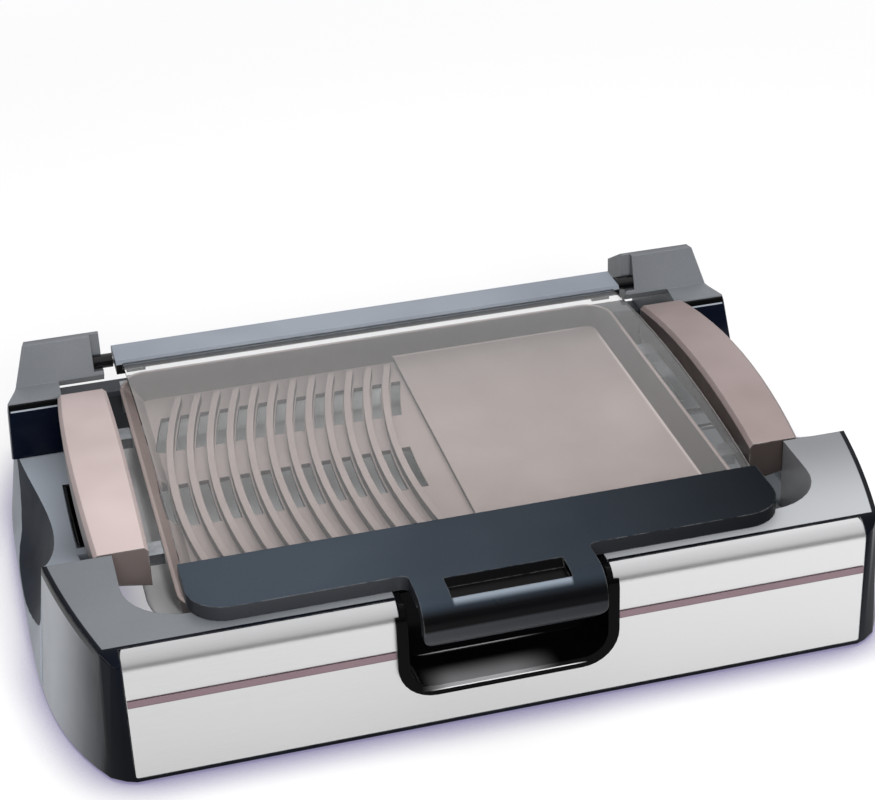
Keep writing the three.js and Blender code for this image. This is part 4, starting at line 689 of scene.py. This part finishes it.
outfits = [
    (block_look, ["front_housing"]),
    (frame_look, both("side_frame")),
    (tower_look, both("tower")),
    (ledge_look, both("tray_ledge_front", "plate_rest_front", "plate_rest_rear")),
    (shaded_shelf_look, both("tray_ledge_rear")),
    (dark_look, ["front_bottom_cover", "rear_rail", "rear_bottom_cover"]),
    (steel_look, ["front_panel"]),
    (stripe_look, both("stripe")),
    (liner_look, ["notch_liner"]),
    (black_look, ["recess_liner", "probe_guide", "handle_grip"] + both("pivot_block", "glass_clip")),
    (face_look, both("tower_face")),
    (rubber_look, both("foot_front", "foot_rear")),
    (zinc_look, both("cover_screw", "handle_screw_front", "handle_screw_rear")),
    (zinc_look, both("handle_lug_front", "handle_lug_rear")),
    (zinc_look, ["element_clip_front", "element_clip_rear"]),
    (pin_look, ["terminal_pin_front", "terminal_pin_rear", "probe_sleeve"] + both("pivot_pin")),
    (heater_look, ["heating_element"]),
    (ceramic_look, ["terminal_block"]),
    (plate_look, ["cook_plate"]),
    (handle_look, ["plate_handle_left"]),
    (shaded_handle_look, ["plate_handle_right"]),
    (front_bar_look, ["lid_front_bar"]),
    (rear_bar_look, ["lid_rear_bar"]),
    (glass_look, ["lid_glass"]),
]
for look, names in outfits:
    for name in names:
        dress(name, look)


# Pieces of their own


def new_object(name, vertices, faces, material, body):
    mesh = bpy.data.meshes.new(name)
    mesh.from_pydata(vertices, [], faces)
    mesh.update()
    mesh.polygons.foreach_set("use_smooth", [True] * len(mesh.polygons))
    obj = bpy.data.objects.new(name, mesh)
    bpy.context.scene.collection.objects.link(obj)
    obj.data.materials.append(material)
    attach(obj, body)
    return obj


def outline_point(turn, half_x, half_y, radius):
    """A point of a rounded rectangle, where turn goes once round it from 0 to 1."""
    # The shares are the same for every ring, so that the rings line up.
    long_side, short_side, corner, rounding = 0.21, 0.15, 0.07, 1e-9
    corners = [(1, 1), (-1, 1), (-1, -1), (1, -1)]
    radius = max(min(radius, half_x, half_y), 0.0)
    deep_x, deep_y = half_x - radius, half_y - radius
    for index, (sx, sy) in enumerate(corners):
        if turn < corner:
            angle = math.radians(90 * index + 90 * (turn / corner))
            return sx * deep_x + radius * math.cos(angle), sy * deep_y + radius * math.sin(angle)
        turn -= corner
        side = short_side if index % 2 else long_side
        if turn <= side + rounding:
            nx, ny = corners[(index + 1) % 4]
            x = sx * deep_x + (nx * deep_x - sx * deep_x) * (turn / side)
            y = sy * deep_y + (ny * deep_y - sy * deep_y) * (turn / side)
            return (x + sx * radius, y) if index % 2 else (x, y + sy * radius)
        turn -= side


def inside_distance(point, polygon):
    """Signed distance to a convex polygon given counterclockwise, positive inside."""
    distances = []
    for (ax, ay), (bx, by) in zip(polygon, polygon[1:] + polygon[:1]):
        ex, ey = bx - ax, by - ay
        distances.append((ex * (point[1] - ay) - ey * (point[0] - ax)) / math.hypot(ex, ey))
    return min(distances)


def drip_tray():
    """The tray as one pressed sheet: a rolled rim, a soft wall, and a floor with four raised panels."""
    low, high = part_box("drip_tray")
    half_x, half_y = ((high[axis] - low[axis]) / 2 for axis in (0, 1))
    centre_x, centre_y = ((high[axis] + low[axis]) / 2 for axis in (0, 1))
    rim, radius, sheet = high[2], 0.061, 0.0012
    rim_wide, wall_run, deep = 0.014, 0.009, 0.013
    roll_wide, roll_drop = 0.0016, 0.0010
    panel_high, panel_slope, crown_high = 0.0020, 0.0026, 0.0002
    wall_step, wall_rings, floor_step, around, merged = 0.00065, 22, 0.0021, 520, 0.00008
    floor_x, floor_y = half_x - rim_wide - wall_run, half_y - rim_wide - wall_run
    # Corners of the front and the side panel, as shares of the floor's half sizes.
    front = [(-0.665, -0.96), (0.665, -0.96), (0.36, -0.545), (-0.36, -0.545)]
    side = [(0.95, -0.86), (0.95, 0.86), (0.335, 0.29), (0.335, -0.29)]
    panels = []
    for shares in (front, side):
        panel = [(u * floor_x, v * floor_y) for u, v in shares]
        panels += [panel, [(-x, -y) for x, y in panel]]

    def height(x, y, inset):
        z = rim - deep * smoother((inset - rim_wide + 0.002) / (wall_run + 0.004))
        if inset < roll_wide:
            z -= roll_drop * ((inset - roll_wide) / roll_wide) ** 2
        if inset > rim_wide + wall_run - 0.004:
            lift = max(inside_distance((x, y), panel) for panel in panels)
            z += panel_high * smoothstep(lift / panel_slope + 0.25)
            z += crown_high * (1 - math.hypot(x / half_x, y / half_y) ** 2)
        return z

    # Rings from the rim inward: close over the roll and the wall, and wider over the floor.
    insets = [0.0, 0.0004, 0.0009, 0.0016, 0.003, 0.006, 0.0095]
    insets += [0.0115 + wall_step * i for i in range(wall_rings)]
    while insets[-1] + floor_step < half_y - 0.002:
        insets.append(insets[-1] + floor_step)
    vertices, faces = [], []
    for inset in insets:
        for i in range(around):
            x, y = outline_point(i / around, half_x - inset, half_y - inset, radius - inset)
            vertices.append((centre_x + x, centre_y + y, height(x, y, inset)))
    # The last ring closes on the tray's long middle line.
    for x, _, _ in vertices[-around:]:
        vertices.append((x, centre_y, height(x - centre_x, 0.0, half_y)))
    for start in range(0, len(insets) * around, around):
        for i in range(around):
            a, b = start + i, start + (i + 1) % around
            faces.append((a, b, b + around, a + around))
    obj = new_object("tray_sheet", vertices, faces, tray_look, "tray")
    mesh = bmesh.new()
    mesh.from_mesh(obj.data)
    bmesh.ops.remove_doubles(mesh, verts=mesh.verts[:], dist=merged)
    bmesh.ops.recalc_face_normals(mesh, faces=mesh.faces[:])
    if sum(face.normal.z for face in mesh.faces) < 0:
        bmesh.ops.reverse_faces(mesh, faces=mesh.faces[:])
    mesh.to_mesh(obj.data)
    mesh.free()
    thick = obj.modifiers.new("sheet", "SOLIDIFY")
    thick.thickness = sheet
    thick.offset = -1
    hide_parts("drip_tray")


drip_tray()


# Floor, light and camera


def floor():
    """A plain pale floor that keeps the grill's shadow, adds a violet contact shadow painted close round
    the grill, and fades into white far from it.
    """
    mesh = bpy.data.meshes.new("floor")
    steps, reach = 64, 3.2
    shadow_wide, fade_from, fade_to, glow_strength = 0.030, 0.9, 2.4, 1.16
    glow_near, glow_mirrored = 0.40, 0.40
    turns = [2 * math.pi * i / steps for i in range(steps)]
    points = [(reach * math.cos(turn), reach * math.sin(turn), 0.0) for turn in turns]
    mesh.from_pydata(points, [], [tuple(range(steps))])
    obj = bpy.data.objects.new("floor", mesh)
    bpy.context.scene.collection.objects.link(obj)
    material, tree, shader, output = new_material("floor")
    tree.nodes.remove(shader)
    path = tree.add("ShaderNodeLightPath")
    seen = tree.most(path.outputs["Is Camera Ray"], path.outputs["Is Transmission Ray"])
    # A painted contact shadow: the floor turns violet-grey where the grill closes it in.
    nearby = tree.add("ShaderNodeAmbientOcclusion", samples=8)
    nearby.inputs["Distance"].default_value = shadow_wide
    open_sky = tree.ranged(nearby.outputs["AO"], 0.45, 0.97)
    pale = tree.mix(open_sky, (0.22, 0.20, 0.32, 1.0), (0.87, 0.87, 0.86, 1.0))
    matt = tree.add("ShaderNodeBsdfDiffuse")
    tree.put(tree.mix(seen, (0.52, 0.52, 0.525, 1.0), pale), matt.inputs[0])
    glow = tree.add("ShaderNodeEmission")
    tint = tree.mix(open_sky, (0.38, 0.35, 0.56, 1.0), (0.985, 0.98, 1.0, 1.0))
    tree.put(tree.mix(seen, (0.99, 0.99, 0.99, 1.0), tint), glow.inputs["Color"])
    glow.inputs["Strength"].default_value = glow_strength
    length = tree.add("ShaderNodeVectorMath", operation="LENGTH")
    tree.links.new(tree.coords(), length.inputs[0])
    held = tree.ranged(length.outputs["Value"], fade_from, fade_to, glow_near, 1.0, soft=True)
    mixed = tree.add("ShaderNodeMixShader")
    mirrored = tree.times(path.outputs["Is Glossy Ray"], glow_mirrored)
    tree.put(tree.most(tree.times(seen, held), mirrored), mixed.inputs[0])
    tree.links.new(matt.outputs[0], mixed.inputs[1])
    tree.links.new(glow.outputs[0], mixed.inputs[2])
    tree.links.new(mixed.outputs[0], output.inputs["Surface"])
    mesh.materials.append(material)


def world():
    """A studio that the grill mirrors, and plain white behind it."""
    scene_world = bpy.data.worlds.new("studio")
    bpy.context.scene.world = scene_world
    scene_world.use_nodes = True
    tree = Tree(scene_world.node_tree)
    tree.nodes.clear()
    where = tree.add("ShaderNodeTexCoord")
    split = tree.add("ShaderNodeSeparateXYZ")
    tree.links.new(where.outputs["Generated"], split.inputs[0])
    x, y, z = (split.outputs[axis] for axis in "XYZ")

    def ramp(stops):
        node = tree.add("ShaderNodeValToRGB")
        tree.put(tree.ranged(z, 0.0, 1.0), node.inputs[0])
        elements = node.color_ramp.elements
        while len(elements) < len(stops):
            elements.new(0.5)
        for element, (place, value) in zip(elements, stops):
            element.position = place
            element.color = (value, value, value * 1.015, 1.0)
        return node.outputs[0]

    # A dark band low down in front, a bright ceiling above it, and a paler wall behind.
    front = ramp([(0.0, 0.10), (0.22, 0.10), (0.40, 0.50), (0.60, 0.58), (0.80, 0.60), (1.0, 0.68)])
    behind = ramp([(0.0, 0.28), (0.30, 0.45), (0.50, 0.72), (0.86, 0.80), (1.0, 0.68)])
    sky = tree.mix(tree.ranged(y, -0.25, 0.25, soft=True), front, behind)
    sky = tree.mix(tree.ranged(x, -0.8, 0.0, 0.60, 0.0, soft=True), sky, (0.10, 0.10, 0.11, 1.0))
    studio = tree.add("ShaderNodeBackground")
    tree.links.new(sky, studio.inputs["Color"])
    studio.inputs["Strength"].default_value = 1.15
    white = tree.add("ShaderNodeBackground")
    white.inputs["Color"].default_value = WHITE
    path = tree.add("ShaderNodeLightPath")
    mixed = tree.add("ShaderNodeMixShader")
    output = tree.add("ShaderNodeOutputWorld")
    seen = tree.most(path.outputs["Is Camera Ray"], path.outputs["Is Transmission Ray"])
    tree.put(seen, mixed.inputs[0])
    tree.links.new(studio.outputs[0], mixed.inputs[1])
    tree.links.new(white.outputs[0], mixed.inputs[2])
    tree.links.new(mixed.outputs[0], output.inputs["Surface"])


def area_light(name, place, aim, size, watts):
    """A soft light that neither mirrors in the grill nor shows through its glass."""
    data = bpy.data.lights.new(name, "AREA")
    data.shape = "RECTANGLE"
    data.size, data.size_y = size
    data.energy = watts
    obj = bpy.data.objects.new(name, data)
    obj.location = place
    obj.rotation_euler = (Vector(aim) - Vector(place)).to_track_quat("-Z", "Y").to_euler()
    obj.visible_glossy = False
    obj.visible_transmission = False
    bpy.context.scene.collection.objects.link(obj)


def camera():
    """The camera fitted to the photograph."""
    yaw, pitch, roll = (math.radians(v) for v in (13.74, 29.28, 2.27))
    place, focal_px, picture_wide_px, sensor_mm = (-0.2901, -1.2353, 0.8252), 2114, 875, 36.0
    level = math.cos(pitch)
    forward = Vector((math.sin(yaw) * level, math.cos(yaw) * level, -math.sin(pitch)))
    level_right = Vector((math.cos(yaw), -math.sin(yaw), 0.0))
    level_down = forward.cross(level_right)
    right = level_right * math.cos(roll) + level_down * math.sin(roll)
    down = -level_right * math.sin(roll) + level_down * math.cos(roll)
    data = bpy.data.cameras.new("camera")
    data.sensor_fit = "HORIZONTAL"
    data.sensor_width = sensor_mm
    data.lens = sensor_mm * focal_px / picture_wide_px
    data.clip_start, data.clip_end = 0.05, 50.0
    obj = bpy.data.objects.new("camera", data)
    turn = Matrix((right, -down, -forward)).transposed()
    obj.matrix_world = Matrix.Translation(place) @ turn.to_4x4()
    bpy.context.scene.collection.objects.link(obj)
    bpy.context.scene.camera = obj


floor()
world()
area_light("key", (0.30, 0.40, 2.1), (0.0, 0.0, 0.05), (2.2, 1.8), 15.0)
area_light("fill", (-0.05, -1.9, 0.95), (0.0, -0.1, 0.05), (1.5, 0.8), 44.0)
camera()

bpy.context.scene.view_settings.view_transform = "Standard"

bpy.context.view_layer.update()
